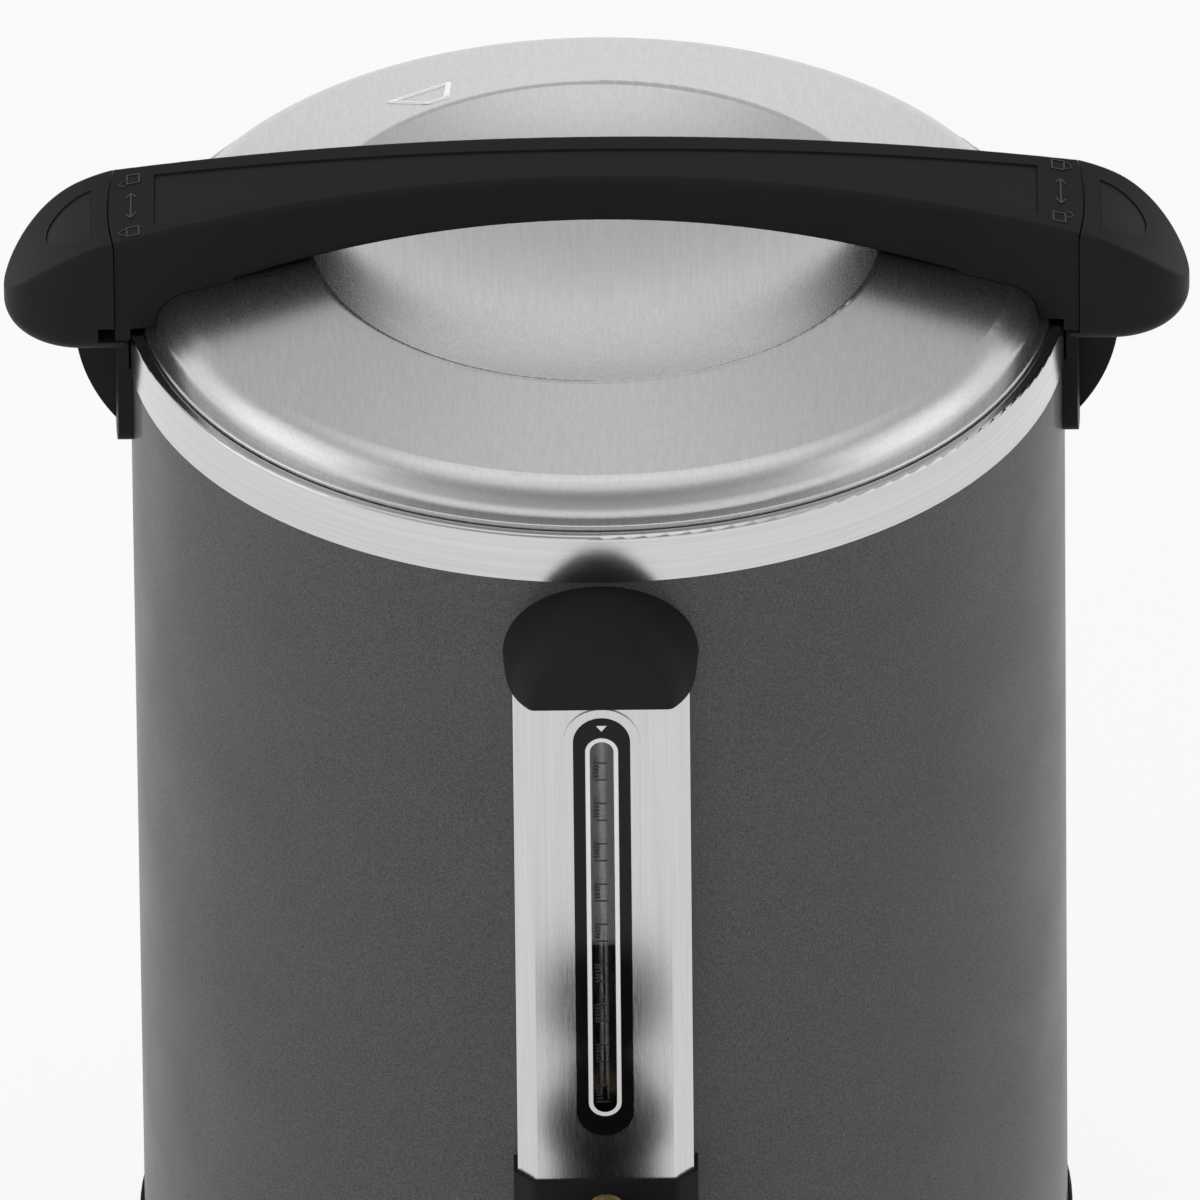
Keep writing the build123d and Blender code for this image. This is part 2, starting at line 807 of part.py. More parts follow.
# Plan of the gauge channel, with bevelled front corners, grown by a given amount
def channel_plan(grow):
    bevel_turn = atan2(channel_bevel, channel_root_half_width - channel_half_width)
    front = -gauge_front - grow
    front_half_width = channel_half_width + grow * tan(bevel_turn / 2)
    side = channel_bevel - gauge_front - grow * tan(pi / 4 - bevel_turn / 2)
    side_half_width = channel_root_half_width + grow
    with BuildSketch() as plan:
        with BuildLine():
            Polyline(
                (-side_half_width, -channel_root),
                (-side_half_width, side),
                (-front_half_width, front),
                (front_half_width, front),
                (side_half_width, side),
                (side_half_width, -channel_root),
                close=True,
            )
        make_face()
        fillet(plan.vertices().group_by(Axis.Y)[0], channel_bend + grow)
    return plan.sketch


# Upright stadium of a given width that keeps the slot's ends concentric, or shortens them
def slot_shape(width, shorten=0.0):
    with BuildSketch() as stadium:
        with Locations((0, slot_middle)):
            SlotOverall(slot_length + width - slot_width - 2 * shorten, width, rotation=90)
    return stadium.sketch


# Gauge cover: folded channel with a ridged slot
with BuildPart() as gauge_cover:
    with BuildSketch(Plane.XY.offset(channel_foot)):
        add(channel_plan(0))
        add(channel_plan(-channel_sheet), mode=Mode.SUBTRACT)
    extrude(amount=channel_top - channel_foot)
    with BuildSketch(Plane.XZ.offset(gauge_front)):
        add(slot_shape(slot_ridge_width))
    extrude(amount=slot_ridge_height)
    with BuildSketch(Plane.XZ.offset(gauge_front - overrun)):
        add(slot_shape(slot_width + 2 * seat_gap))
    extrude(amount=2 * overrun, mode=Mode.SUBTRACT)
    with BuildSketch(Plane.XY.offset(channel_foot)):
        Circle(shell_radius + seat_gap)
    extrude(amount=channel_top - channel_foot, mode=Mode.SUBTRACT)
save(gauge_cover, "gauge_cover")

# Gauge bezel: dark frame in the slot with a flange behind the sheet
bezel_back = gauge_front - channel_sheet - seat_gap - bezel_flange
with BuildPart() as gauge_bezel:
    with BuildSketch(Plane.XZ.offset(bezel_back)):
        add(slot_shape(bezel_flange_width))
    extrude(amount=bezel_flange)
    with BuildSketch(Plane.XZ.offset(bezel_back)):
        add(slot_shape(slot_width))
    extrude(amount=gauge_front + slot_ridge_height + bezel_proud - bezel_back)
    with BuildSketch(Plane.XZ.offset(bezel_back - overrun)):
        add(slot_shape(bezel_opening, bezel_end_extra))
    extrude(amount=3 * overrun, mode=Mode.SUBTRACT)
save(gauge_bezel, "gauge_bezel")

# Gauge window: clear strip inside the bezel
with BuildPart() as gauge_window:
    with BuildSketch(Plane.XZ.offset(gauge_front + slot_ridge_height - window_thickness)):
        add(slot_shape(bezel_opening - 2 * seat_gap, bezel_end_extra))
    extrude(amount=window_thickness)
save(gauge_window, "gauge_window")

# Gauge tube: glass tube between the tap block and the cap
tube_top = channel_top - gauge_seal_height / 3
with BuildPart() as gauge_tube:
    with BuildSketch(Plane.XY.offset(tube_foot)):
        with Locations((0, -tube_offset)):
            Circle(tube_radius)
            Circle(tube_radius - tube_wall, mode=Mode.SUBTRACT)
    extrude(amount=tube_top - tube_foot)
save(gauge_tube, "gauge_tube")

# Gauge seals: a ring in the tap block and a blind plug under the cap
with BuildPart() as gauge_seals:
    for seal_foot in (channel_foot - gauge_seal_height, channel_top + seat_gap - gauge_seal_height):
        with BuildSketch(Plane.XY.offset(seal_foot)):
            with Locations((0, -tube_offset)):
                Circle(gauge_seal_radius)
        extrude(amount=gauge_seal_height)
    with BuildSketch(Plane.XY.offset(tube_foot)):
        with Locations((0, -tube_offset)):
            Circle(tube_radius + seat_gap)
    extrude(amount=tube_top + seat_gap - tube_foot, mode=Mode.SUBTRACT)
save(gauge_seals, "gauge_seals")

# Gauge back strip: plate behind the tube, against the shell
with BuildPart() as gauge_back_strip:
    with BuildSketch(Plane.XZ.offset(shell_radius + seat_gap)):
        with Locations((0, (channel_foot + channel_top) / 2)):
            Rectangle(2 * back_strip_half_width, channel_top - channel_foot)
    extrude(amount=back_strip_thickness)
save(gauge_back_strip, "gauge_back_strip")


# Round-topped arch of the cap, standing on the cap's lower edge
def cap_arch(half_width, top_drop):
    with BuildSketch() as arch:
        with BuildLine():
            rise = cap_drop - top_drop
            crown_arc = EllipticalCenterArc((0, cap_foot), half_width, rise, start_angle=0, arc_size=180)
            Line(crown_arc @ 1, crown_arc @ 0)
        make_face()
    return arch.sketch


# Gauge cap: half-round hood that narrows towards its front and closes the channel
with BuildPart() as gauge_cap:
    for reach, half_width, top_drop in (
        (channel_root, cap_half_width, cap_top_drop),
        (cap_shoulder, cap_shoulder_half_width, cap_shoulder_top_drop),
        (cap_nose, cap_nose_half_width, cap_nose_top_drop),
        (cap_front, cap_front_half_width, cap_front_top_drop),
    ):
        with BuildSketch(Plane.XZ.offset(reach)):
            add(cap_arch(half_width, top_drop))
    loft()
    front_edges = gauge_cap.faces().sort_by(Axis.Y)[0].edges()
    fillet(front_edges.sort_by(Axis.Z)[-1], cap_edge_round)
    with BuildSketch(Plane.XY.offset(cap_foot)):
        Circle(shell_radius + seat_gap)
    extrude(amount=cap_drop, mode=Mode.SUBTRACT)
    with BuildSketch(Plane.XY.offset(cap_foot)):
        add(channel_plan(seat_gap))
    extrude(amount=channel_overlap + seat_gap, mode=Mode.SUBTRACT)
save(gauge_cap, "gauge_cap")

# Tap body: block under the gauge, neck, valve chamber, spout and shank
chamber_axis = Axis((0, -chamber_offset, 0), (0, 0, 1))
chamber_top = tap_height + chamber_rise
chamber_foot = tap_height - chamber_drop
spout_foot = tap_height - spout_drop
with BuildPart() as tap_body:
    with BuildSketch(Plane.XY.offset(tap_height - tap_block_drop)):
        add(channel_plan(tap_block_margin))
    extrude(amount=tap_block_drop + tap_block_rise)
    fillet(tap_body.faces().sort_by(Axis.Z)[0].edges().sort_by(Axis.Y)[:-1], tap_block_round)
    with BuildSketch(Plane.XY.offset(tap_height - tap_block_drop)):
        Circle(shell_radius + washer_thickness + 2 * seat_gap)
    extrude(amount=tap_block_drop + tap_block_rise, mode=Mode.SUBTRACT)
    with BuildSketch(Plane.XZ.offset(shank_reach)):
        with Locations((0, tap_height)):
            Circle(shank_radius)
    extrude(amount=gauge_front - shank_reach)
    with BuildSketch(Plane.XZ.offset(gauge_front)):
        with Locations((0, tap_height)):
            Circle(neck_radius)
    extrude(amount=chamber_offset - gauge_front)
    chamber_waist = chamber_foot + chamber_radius - spout_radius
    with BuildSketch(Plane.XZ.offset(chamber_offset)) as chamber_profile:
        with BuildLine():
            Polyline(
                (0, spout_foot),
                (spout_radius, spout_foot),
                (spout_radius, chamber_foot),
                (chamber_radius, chamber_waist),
                (chamber_radius, chamber_top),
                (0, chamber_top),
                close=True,
            )
        make_face()
        fillet(corner(chamber_profile, (spout_radius, spout_foot)), spout_round)
        fillet(corner(chamber_profile, (spout_radius, chamber_foot)), chamber_round)
        fillet(corner(chamber_profile, (chamber_radius, chamber_waist)), chamber_round)
    revolve(axis=chamber_axis)
    with BuildSketch(Plane.XZ.offset(chamber_offset)):
        with BuildLine():
            Polyline(
                (0, spout_foot - overrun),
                (spout_bore, spout_foot - overrun),
                (spout_bore, valve_seat),
                (chamber_bore, valve_seat),
                (chamber_bore, chamber_top + overrun),
                (0, chamber_top + overrun),
                close=True,
            )
        make_face()
    revolve(axis=chamber_axis, mode=Mode.SUBTRACT)
    with BuildSketch(Plane.XZ.offset(shank_reach - overrun)):
        with Locations((0, tap_height)):
            Circle(tap_bore)
    extrude(amount=chamber_offset + overrun - shank_reach, mode=Mode.SUBTRACT)
    for socket_radius, socket_foot in (
        (gauge_seal_radius + seat_gap, channel_foot - gauge_seal_height - seat_gap),
        (tube_radius + seat_gap, tube_foot - seat_gap),
        (gauge_port, tap_height),
    ):
        with BuildSketch(Plane.XY.offset(socket_foot)):
            with Locations((0, -tube_offset)):
                Circle(socket_radius)
        extrude(amount=channel_foot + overrun - socket_foot, mode=Mode.SUBTRACT)
save(tap_body, "tap_body")

# Tap washers: one between the shell and the tap block, one inside the tank
inner_washer_seat = sqrt(tank_radius**2 - washer_radius**2) - seat_gap
with BuildPart() as tap_washers:
    with BuildSketch(Plane.XZ.offset(shell_radius - overrun)):
        with Locations((0, tap_height)):
            Circle(washer_radius)
            Circle(shank_radius + seat_gap, mode=Mode.SUBTRACT)
    extrude(amount=3 * overrun)
    with BuildSketch(Plane.XY.offset(tap_height - washer_radius - overrun)):
        Circle(shell_radius + seat_gap + washer_thickness)
        Circle(shell_radius + seat_gap, mode=Mode.SUBTRACT)
    extrude(amount=2 * washer_radius + 2 * overrun, mode=Mode.INTERSECT)
    with BuildSketch(Plane.XZ.offset(inner_washer_seat - washer_thickness)):
        with Locations((0, tap_height)):
            Circle(washer_radius)
            Circle(shank_radius + seat_gap, mode=Mode.SUBTRACT)
    extrude(amount=washer_thickness)
save(tap_washers, "tap_washers")

# Tap nut: hexagon on the shank inside the tank
with BuildPart() as tap_nut:
    with BuildSketch(Plane.XZ.offset(inner_washer_seat - washer_thickness - nut_thickness)):
        with Locations((0, tap_height)):
            RegularPolygon(nut_flats / 2, 6, major_radius=False)
            Circle(shank_radius + seat_gap, mode=Mode.SUBTRACT)
    extrude(amount=nut_thickness)
save(tap_nut, "tap_nut")

# Tap bonnet: ribbed screw cap of the valve chamber with two ears for the lever
with BuildPart() as tap_bonnet:
    with BuildSketch(Plane.XY.offset(bonnet_foot)):
        with Locations((0, -chamber_offset)):
            Circle(bonnet_radius)
            with PolarLocations(bonnet_radius, bonnet_rib_count):
                Circle(bonnet_rib_radius)
    extrude(amount=bonnet_top - bonnet_foot)
    with BuildSketch(Plane.XY.offset(bonnet_foot)):
        with Locations((0, -chamber_offset)):
            Circle(chamber_radius + seat_gap)
    extrude(amount=chamber_top + seat_gap - bonnet_foot, mode=Mode.SUBTRACT)
    with BuildSketch(Plane.XY.offset(bonnet_foot)):
        with Locations((0, -chamber_offset)):
            Circle(stem_radius + seat_gap)
    extrude(amount=bonnet_top + overrun - bonnet_foot, mode=Mode.SUBTRACT)
    for ear_start in (ear_inner, -ear_inner - ear_thickness):
        with BuildSketch(Plane.YZ.offset(ear_start)):
            with Locations((-pivot_offset, pivot_height)):
                Circle(ear_radius)
                Rectangle(
                    2 * ear_radius,
                    pivot_height - bonnet_top + bonnet_roof / 2,
                    align=(Align.CENTER, Align.MAX),
                )
                Circle(pin_radius + pin_clearance, mode=Mode.SUBTRACT)
        extrude(amount=ear_thickness)
save(tap_bonnet, "tap_bonnet")

# Lever pin: through both ears and the lever's hub
with BuildPart() as lever_pin:
    with BuildSketch(Plane.YZ):
        with Locations((-pivot_offset, pivot_height)):
            Circle(pin_radius)
    extrude(amount=ear_inner + ear_thickness, both=True)
save(lever_pin, "lever_pin")

# Tap lever: dished thumb paddle in front of the pin and a lifting fork behind it
lever_plane = Plane(
    (0, -pivot_offset, pivot_height),
    x_dir=(-1, 0, 0),
    z_dir=(0, sin(radians(lever_tilt)), cos(radians(lever_tilt))),
)
paddle_length = lever_length - lever_neck_length
with BuildPart() as tap_lever:
    with BuildSketch(Plane.YZ):
        with Locations((-pivot_offset, pivot_height)):
            Circle(lever_hub_radius)
    extrude(amount=lever_hub_half_width, both=True)
    with BuildSketch(lever_plane):
        with Locations((0, lever_neck_length + paddle_length / 2)):
            RectangleRounded(2 * lever_half_width, paddle_length, lever_corner)
        Rectangle(
            2 * fork_half_width, lever_neck_length + lever_rim, align=(Align.CENTER, Align.MIN)
        )
    extrude(amount=lever_thickness / 2, both=True)
    paddle_edges = tap_lever.edges().filter_by(lambda e: e.center().Y < -pivot_offset - lever_neck_length)
    fillet(paddle_edges.filter_by(lambda e: e.length > lever_thickness + seat_gap), lever_round)
    with BuildSketch(lever_plane.offset(lever_thickness / 2 - lever_dish)):
        with Locations((0, lever_neck_length + paddle_length / 2)):
            RectangleRounded(
                2 * (lever_half_width - lever_rim), paddle_length - 2 * lever_rim, lever_corner - lever_rim
            )
    extrude(amount=overrun, mode=Mode.SUBTRACT)
    with BuildSketch(Plane.XY.offset(pivot_height + fork_rise - fork_thickness)):
        with Locations((0, -pivot_offset)):
            Rectangle(2 * fork_half_width, fork_reach, align=(Align.CENTER, Align.MIN))
        with Locations((0, -chamber_offset)):
            Circle(fork_slot_half_width, mode=Mode.SUBTRACT)
            Rectangle(
                2 * fork_slot_half_width, fork_reach, align=(Align.CENTER, Align.MIN), mode=Mode.SUBTRACT
            )
    extrude(amount=fork_thickness)
    with BuildSketch(Plane.YZ):
        with Locations((-pivot_offset, pivot_height)):
            Circle(pin_radius + pin_clearance)
    extrude(amount=lever_half_width, both=True, mode=Mode.SUBTRACT)
save(tap_lever, "tap_lever")

# Valve stem: rod with a spring collar below and a head above the fork
with BuildPart() as valve_stem:
    with BuildSketch(Plane.XZ.offset(chamber_offset)):
        with BuildLine():
            Polyline(
                (0, stem_foot),
                (stem_collar_radius, stem_foot),
                (stem_collar_radius, stem_foot + stem_collar_height),
                (stem_radius, stem_foot + stem_collar_height),
                (stem_radius, stem_head_foot),
                (stem_head_radius, stem_head_foot),
                (stem_head_radius, stem_head_foot + stem_head_height),
                (0, stem_head_foot + stem_head_height),
                close=True,
            )
        make_face()
    revolve(axis=chamber_axis)
save(valve_stem, "valve_stem")

# Valve seal: soft disc under the stem
with BuildPart() as valve_seal:
    with BuildSketch(Plane.XY.offset(valve_seat + seat_gap)):
        with Locations((0, -chamber_offset)):
            Circle(valve_seal_radius)
    extrude(amount=valve_seal_height)
save(valve_seal, "valve_seal")

# Valve spring: hidden in the chamber round the stem
with BuildPart() as valve_spring:
    with BuildSketch(Plane.XY.offset(stem_foot + stem_collar_height)):
        with Locations((0, -chamber_offset)):
            Circle(spring_radius)
            Circle(spring_radius - spring_wire, mode=Mode.SUBTRACT)
    extrude(amount=chamber_top + seat_gap - stem_foot - stem_collar_height)
save(valve_spring, "valve_spring")

# Base housing: moulded ring that carries the shell, with lugs for the bottom cover
with BuildPart() as base_housing:
    with BuildSketch(Plane.XZ) as base_profile:
        with BuildLine():
            Polyline(
                (base_inner, base_foot),
                (base_radius, base_foot),
                (base_top_radius, base_height),
                (shell_radius + seat_gap, base_height),
                (shell_radius + seat_gap, shell_foot),
                (base_inner, shell_foot),
                close=True,
            )
        make_face()
        fillet(corner(base_profile, (base_radius, base_foot)), base_edge_round)
        fillet(corner(base_profile, (base_top_radius, base_height)), base_top_round)
    revolve(axis=Axis.Z)
    with BuildSketch(Plane.XY.offset(cover_top)):
        with PolarLocations(lug_circle, lug_count, start_angle=lug_turn):
            Circle(lug_radius)
    extrude(amount=lug_height)
    with BuildSketch(Plane.XY.offset(cover_top)):
        with PolarLocations(lug_circle, lug_count, start_angle=lug_turn):
            Circle(cover_screw_radius)
    extrude(amount=cover_screw_length, mode=Mode.SUBTRACT)
    with BuildSketch(Plane.XZ.offset(base_inner - panel_depth)):
        with Locations((0, panel_rise)):
            RectangleRounded(
                panel_width + 2 * seat_gap, panel_height + 2 * seat_gap, panel_corner + seat_gap
            )
    extrude(amount=panel_depth + base_wall + overrun, mode=Mode.SUBTRACT)
    with BuildSketch(Plane.XZ.offset(-base_radius - overrun)):
        with Locations((0, gland_rise)):
            Circle(gland_radius + seat_gap)
    extrude(amount=base_wall + 2 * overrun, mode=Mode.SUBTRACT)
save(base_housing, "base_housing")

# Bottom cover: vented sheet that closes the base
with BuildPart() as bottom_cover:
    with BuildSketch(Plane.XY.offset(base_foot)):
        Circle(base_inner - slide_gap)
        with PolarLocations(lug_circle, lug_count, start_angle=lug_turn):
            Circle(cover_screw_radius + seat_gap, mode=Mode.SUBTRACT)
        with GridLocations(0, vent_pitch, 1, vent_count):
            SlotOverall(vent_length, vent_width, mode=Mode.SUBTRACT)
    extrude(amount=cover_sheet)
save(bottom_cover, "bottom_cover")

# Foot ring: rubber ring that the urn stands on
with BuildPart() as foot_ring:
    with BuildSketch():
        Circle(foot_radius)
        Circle(foot_inner, mode=Mode.SUBTRACT)
    extrude(amount=base_foot)
    fillet(foot_ring.faces().sort_by(Axis.Z)[0].edges(), foot_round)
save(foot_ring, "foot_ring")

# Bottom cover screws: up into the base's lugs
with BuildPart() as cover_screws:
    with BuildSketch(Plane.XY.offset(base_foot - cover_screw_head_height)):
        with PolarLocations(lug_circle, lug_count, start_angle=lug_turn):
            Circle(cover_screw_head_radius)
    extrude(amount=cover_screw_head_height)
    with BuildSketch(Plane.XY.offset(base_foot)):
        with PolarLocations(lug_circle, lug_count, start_angle=lug_turn):
            Circle(cover_screw_radius - seat_gap)
    extrude(amount=cover_screw_length)
save(cover_screws, "cover_screws")

# Control panel: flat-faced box let into the front of the base
with BuildPart() as control_panel:
    with BuildSketch(Plane.XZ.offset(panel_front - panel_depth)):
        with Locations((0, panel_rise)):
            RectangleRounded(panel_width, panel_height, panel_corner)
    extrude(amount=panel_depth)
    fillet(control_panel.faces().sort_by(Axis.Y)[0].edges(), panel_sheet / 3)
    with BuildSketch(Plane.XZ.offset(panel_front - panel_depth)):
        with Locations((0, panel_rise)):
            RectangleRounded(
                panel_width - 2 * panel_sheet, panel_height - 2 * panel_sheet, panel_corner - panel_sheet / 2
            )
    extrude(amount=panel_depth - panel_sheet, mode=Mode.SUBTRACT)
    with BuildSketch(Plane.XZ.offset(panel_front - panel_depth)):
        with Locations((0, panel_rise)):
            Rectangle(switch_body_width + 2 * seat_gap, switch_body_height + 2 * seat_gap)
            with GridLocations(2 * lamp_spread, 0, 2, 1):
                Circle(lamp_radius + seat_gap)
    extrude(amount=panel_depth + overrun, mode=Mode.SUBTRACT)
save(control_panel, "control_panel")

# Power switch: housing with its rocker pocket
rocker_axis_offset = panel_front + switch_flange - rocker_depth
pocket_depth = rocker_depth + rocker_height / 2
with BuildPart() as switch_housing:
    with BuildSketch(Plane.XZ.offset(panel_front)):
        with Locations((0, panel_rise)):
            Rectangle(switch_width, switch_height)
    extrude(amount=switch_flange)
    fillet(switch_housing.faces().sort_by(Axis.Y)[0].edges(), switch_flange / 2)
    with BuildSketch(Plane.XZ.offset(panel_front - switch_depth)):
        with Locations((0, panel_rise)):
            Rectangle(switch_body_width, switch_body_height)
    extrude(amount=switch_depth)
    with BuildSketch(Plane.XZ.offset(panel_front + switch_flange - pocket_depth)):
        with Locations((0, panel_rise)):
            Rectangle(rocker_width + 2 * rocker_pocket_gap, rocker_height + 2 * rocker_pocket_gap)
    extrude(amount=pocket_depth + overrun, mode=Mode.SUBTRACT)
    with BuildSketch(Plane.YZ):
        with Locations((-rocker_axis_offset, panel_rise)):
            Circle(rocker_pin_radius + pin_clearance)
    extrude(amount=switch_body_width / 2, both=True, mode=Mode.SUBTRACT)
save(switch_housing, "switch_housing")

# Power rocker: shallow vee turned to its off side, on two stub pins
rocker_plane = Plane(
    (0, -rocker_axis_offset, panel_rise),
    x_dir=(0, cos(radians(rocker_throw / 2)), sin(radians(rocker_throw / 2))),
    z_dir=(1, 0, 0),
)
rocker_back = rocker_height / 4
with BuildPart() as power_rocker:
    with BuildSketch(rocker_plane):
        with BuildLine():
            Polyline(
                (-rocker_proud, rocker_height / 2),
                (-rocker_dip, 0),
                (-rocker_proud, -rocker_height / 2),
                (0, -rocker_height / 2),
                (rocker_back, 0),
                (0, rocker_height / 2),
                close=True,
            )
        make_face()
    extrude(amount=rocker_width / 2, both=True)
    with BuildSketch(rocker_plane):
        Circle(rocker_pin_radius)
    extrude(amount=switch_body_width / 2, both=True)
save(power_rocker, "power_rocker")

# Indicator lamps: one for heating, one for ready
for lamp_name, side in (("heating_lamp", -1), ("ready_lamp", 1)):
    with BuildPart() as lamp:
        with BuildSketch(Plane.XZ.offset(panel_front - lamp_length)):
            with Locations((side * lamp_spread, panel_rise)):
                Circle(lamp_radius)
        extrude(amount=lamp_length + lamp_flange + lamp_proud)
        fillet(lamp.faces().sort_by(Axis.Y)[0].edges(), lamp_proud)
        with BuildSketch(Plane.XZ.offset(panel_front)):
            with Locations((side * lamp_spread, panel_rise)):
                Circle(lamp_flange_radius)
        extrude(amount=lamp_flange)
    save(lamp, lamp_name)

# Cord gland: flanged bush in the back of the base
gland_seat = base_radius + seat_gap
with BuildPart() as cord_gland:
    with BuildSketch(Plane.XZ.offset(-gland_seat - gland_flange)):
        with Locations((0, gland_rise)):
            Circle(gland_flange_radius)
    extrude(amount=gland_flange)
    with BuildSketch(Plane.XZ.offset(-gland_seat - gland_flange)):
        with Locations((0, gland_rise)):
            Circle(gland_radius)
    extrude(amount=gland_flange + base_wall + gland_tail)
    with BuildSketch(Plane.XZ.offset(-gland_seat - gland_flange)):
        with Locations((0, gland_rise)):
            Circle(gland_bore)
    extrude(amount=gland_flange + base_wall + gland_tail, mode=Mode.SUBTRACT)
save(cord_gland, "cord_gland")

# Heater plate: ring against the tank's floor, round the well
with BuildPart() as heater_plate:
    with BuildSketch(Plane.XY.offset(heater_foot)):
        Circle(heater_plate_radius)
        Circle(well_radius + tank_sheet + heater_plate_gap, mode=Mode.SUBTRACT)
    extrude(amount=heater_plate_thickness)
save(heater_plate, "heater_plate")

# Heating element: open ring of tube with two legs down to its terminals
element_height = heater_foot - seat_gap - element_radius
element_start = (360 - element_sweep) / 2
element_ends = [
    (element_circle * cos(radians(turn)), element_circle * sin(radians(turn)))
    for turn in (90 + element_start, 90 - element_start)
]
with BuildPart() as heating_element:
    with BuildSketch(Plane.XZ):
        with Locations((element_circle, element_height)):
            Circle(element_radius)
    revolve(axis=Axis.Z)
    with BuildSketch(Plane.XY.offset(element_height - element_radius)):
        with Locations((0, element_circle)):
            Rectangle(2 * element_circle * sin(radians(element_start)), 2 * overrun)
    extrude(amount=2 * element_radius, mode=Mode.SUBTRACT)
    with BuildSketch(Plane.XY.offset(element_height - element_leg)):
        with Locations(*element_ends):
            Circle(element_radius)
    extrude(amount=element_leg)
save(heating_element, "heating_element")

# Thermostat: disc clamped under the heater plate
with BuildPart() as thermostat:
    with BuildSketch(Plane.XY.offset(heater_foot - thermostat_height)):
        with Locations((thermostat_circle, 0)):
            Circle(thermostat_radius)
    extrude(amount=thermostat_height)
save(thermostat, "thermostat")

# Thermal fuse: small barrel in a clip under the heater plate
with BuildPart() as thermal_fuse:
    with BuildSketch(Plane.XY.offset(heater_foot - 2 * fuse_radius)):
        with Locations((-fuse_circle, 0)):
            Rectangle(fuse_clip_width, 3 * fuse_radius)
    extrude(amount=2 * fuse_radius)
    with BuildSketch(Plane.YZ.offset(-fuse_circle - fuse_length / 2)):
        with Locations((0, heater_foot - 2 * fuse_radius)):
            Circle(fuse_radius)
    extrude(amount=fuse_length)
save(thermal_fuse, "thermal_fuse")

# Terminal block: on the bottom cover near the gland
with BuildPart() as terminal_block:
    with BuildSketch(Plane.XY.offset(cover_top)):
        with Locations((0, block_offset)):
            Rectangle(block_width, block_depth)
    extrude(amount=block_height)
    with BuildSketch(Plane.XY.offset(cover_top + block_height / 2)):
        with Locations((0, block_offset)):
            with GridLocations(block_width / block_screw_count, 0, block_screw_count, 1):
                Circle(block_screw_radius)
    extrude(amount=block_height, mode=Mode.SUBTRACT)
save(terminal_block, "terminal_block")

# Pump foot: bell that stands in the tank's well
pump_floor = tank_floor - well_depth + pump_foot_lift
with BuildPart() as pump_foot:
    with BuildSketch(Plane.XZ):
        with BuildLine():
            Polyline(
                (pump_foot_radius - pump_foot_wall, pump_floor),
                (pump_foot_radius, pump_floor),
                (pump_tube_radius + seat_gap + pump_foot_wall, pump_floor + pump_foot_height),
                (pump_tube_radius + seat_gap, pump_floor + pump_foot_height),
                (pump_tube_radius + seat_gap, pump_floor + pump_foot_height - 2 * pump_foot_wall),
                close=True,
            )
        make_face()
    revolve(axis=Axis.Z)
    with BuildSketch(Plane.XY.offset(pump_floor)):
        with PolarLocations(pump_foot_radius, pump_port_count):
            Rectangle(2 * pump_port_width, pump_port_width)
    extrude(amount=pump_port_height, mode=Mode.SUBTRACT)
save(pump_foot, "pump_foot")

# Pump tube: riser from the foot to above the basket
pump_tube_top = rim_height - pump_tube_top_drop
pump_tube_foot = pump_floor + pump_foot_height - 2 * pump_foot_wall
with BuildPart() as pump_tube:
    with BuildSketch(Plane.XY.offset(pump_tube_foot)):
        Circle(pump_tube_radius)
        Circle(pump_tube_radius - pump_tube_wall, mode=Mode.SUBTRACT)
    extrude(amount=pump_tube_top - pump_tube_foot)
save(pump_tube, "pump_tube")

# Basket stop: collar on the riser that carries the basket
with BuildPart() as basket_stop:
    with BuildSketch(Plane.XY.offset(basket_foot - collar_height)):
        Circle(collar_radius)
        Circle(pump_tube_radius + seat_gap, mode=Mode.SUBTRACT)
    extrude(amount=collar_height)
save(basket_stop, "basket_stop")

# Filter basket: cup with a perforated floor and a sleeve round the riser
sleeve_inner = pump_tube_radius + seat_gap
with BuildPart() as filter_basket:
    with BuildSketch(Plane.XZ) as basket_profile:
        with BuildLine():
            Polyline(
                (sleeve_inner, basket_foot),
                (basket_radius, basket_foot),
                (basket_radius, basket_top),
                (basket_radius - basket_sheet, basket_top),
                (basket_radius - basket_sheet, basket_foot + basket_sheet),
                (sleeve_inner + basket_sheet, basket_foot + basket_sheet),
                (sleeve_inner + basket_sheet, basket_foot + basket_sleeve_height),
                (sleeve_inner, basket_foot + basket_sleeve_height),
                close=True,
            )
        make_face()
        fillet(corner(basket_profile, (basket_radius, basket_foot)), basket_corner)
        inner_corner = (basket_radius - basket_sheet, basket_foot + basket_sheet)
        fillet(corner(basket_profile, inner_corner), basket_corner - basket_sheet)
    revolve(axis=Axis.Z)
    with BuildSketch(Plane.XY.offset(basket_foot)):
        for ring in range(basket_hole_rings):
            ring_radius = basket_hole_first + ring * basket_hole_pitch
            with PolarLocations(ring_radius, basket_hole_count * (ring + 1)):
                Circle(basket_hole_radius)
    extrude(amount=basket_sheet, mode=Mode.SUBTRACT)
save(filter_basket, "filter_basket")

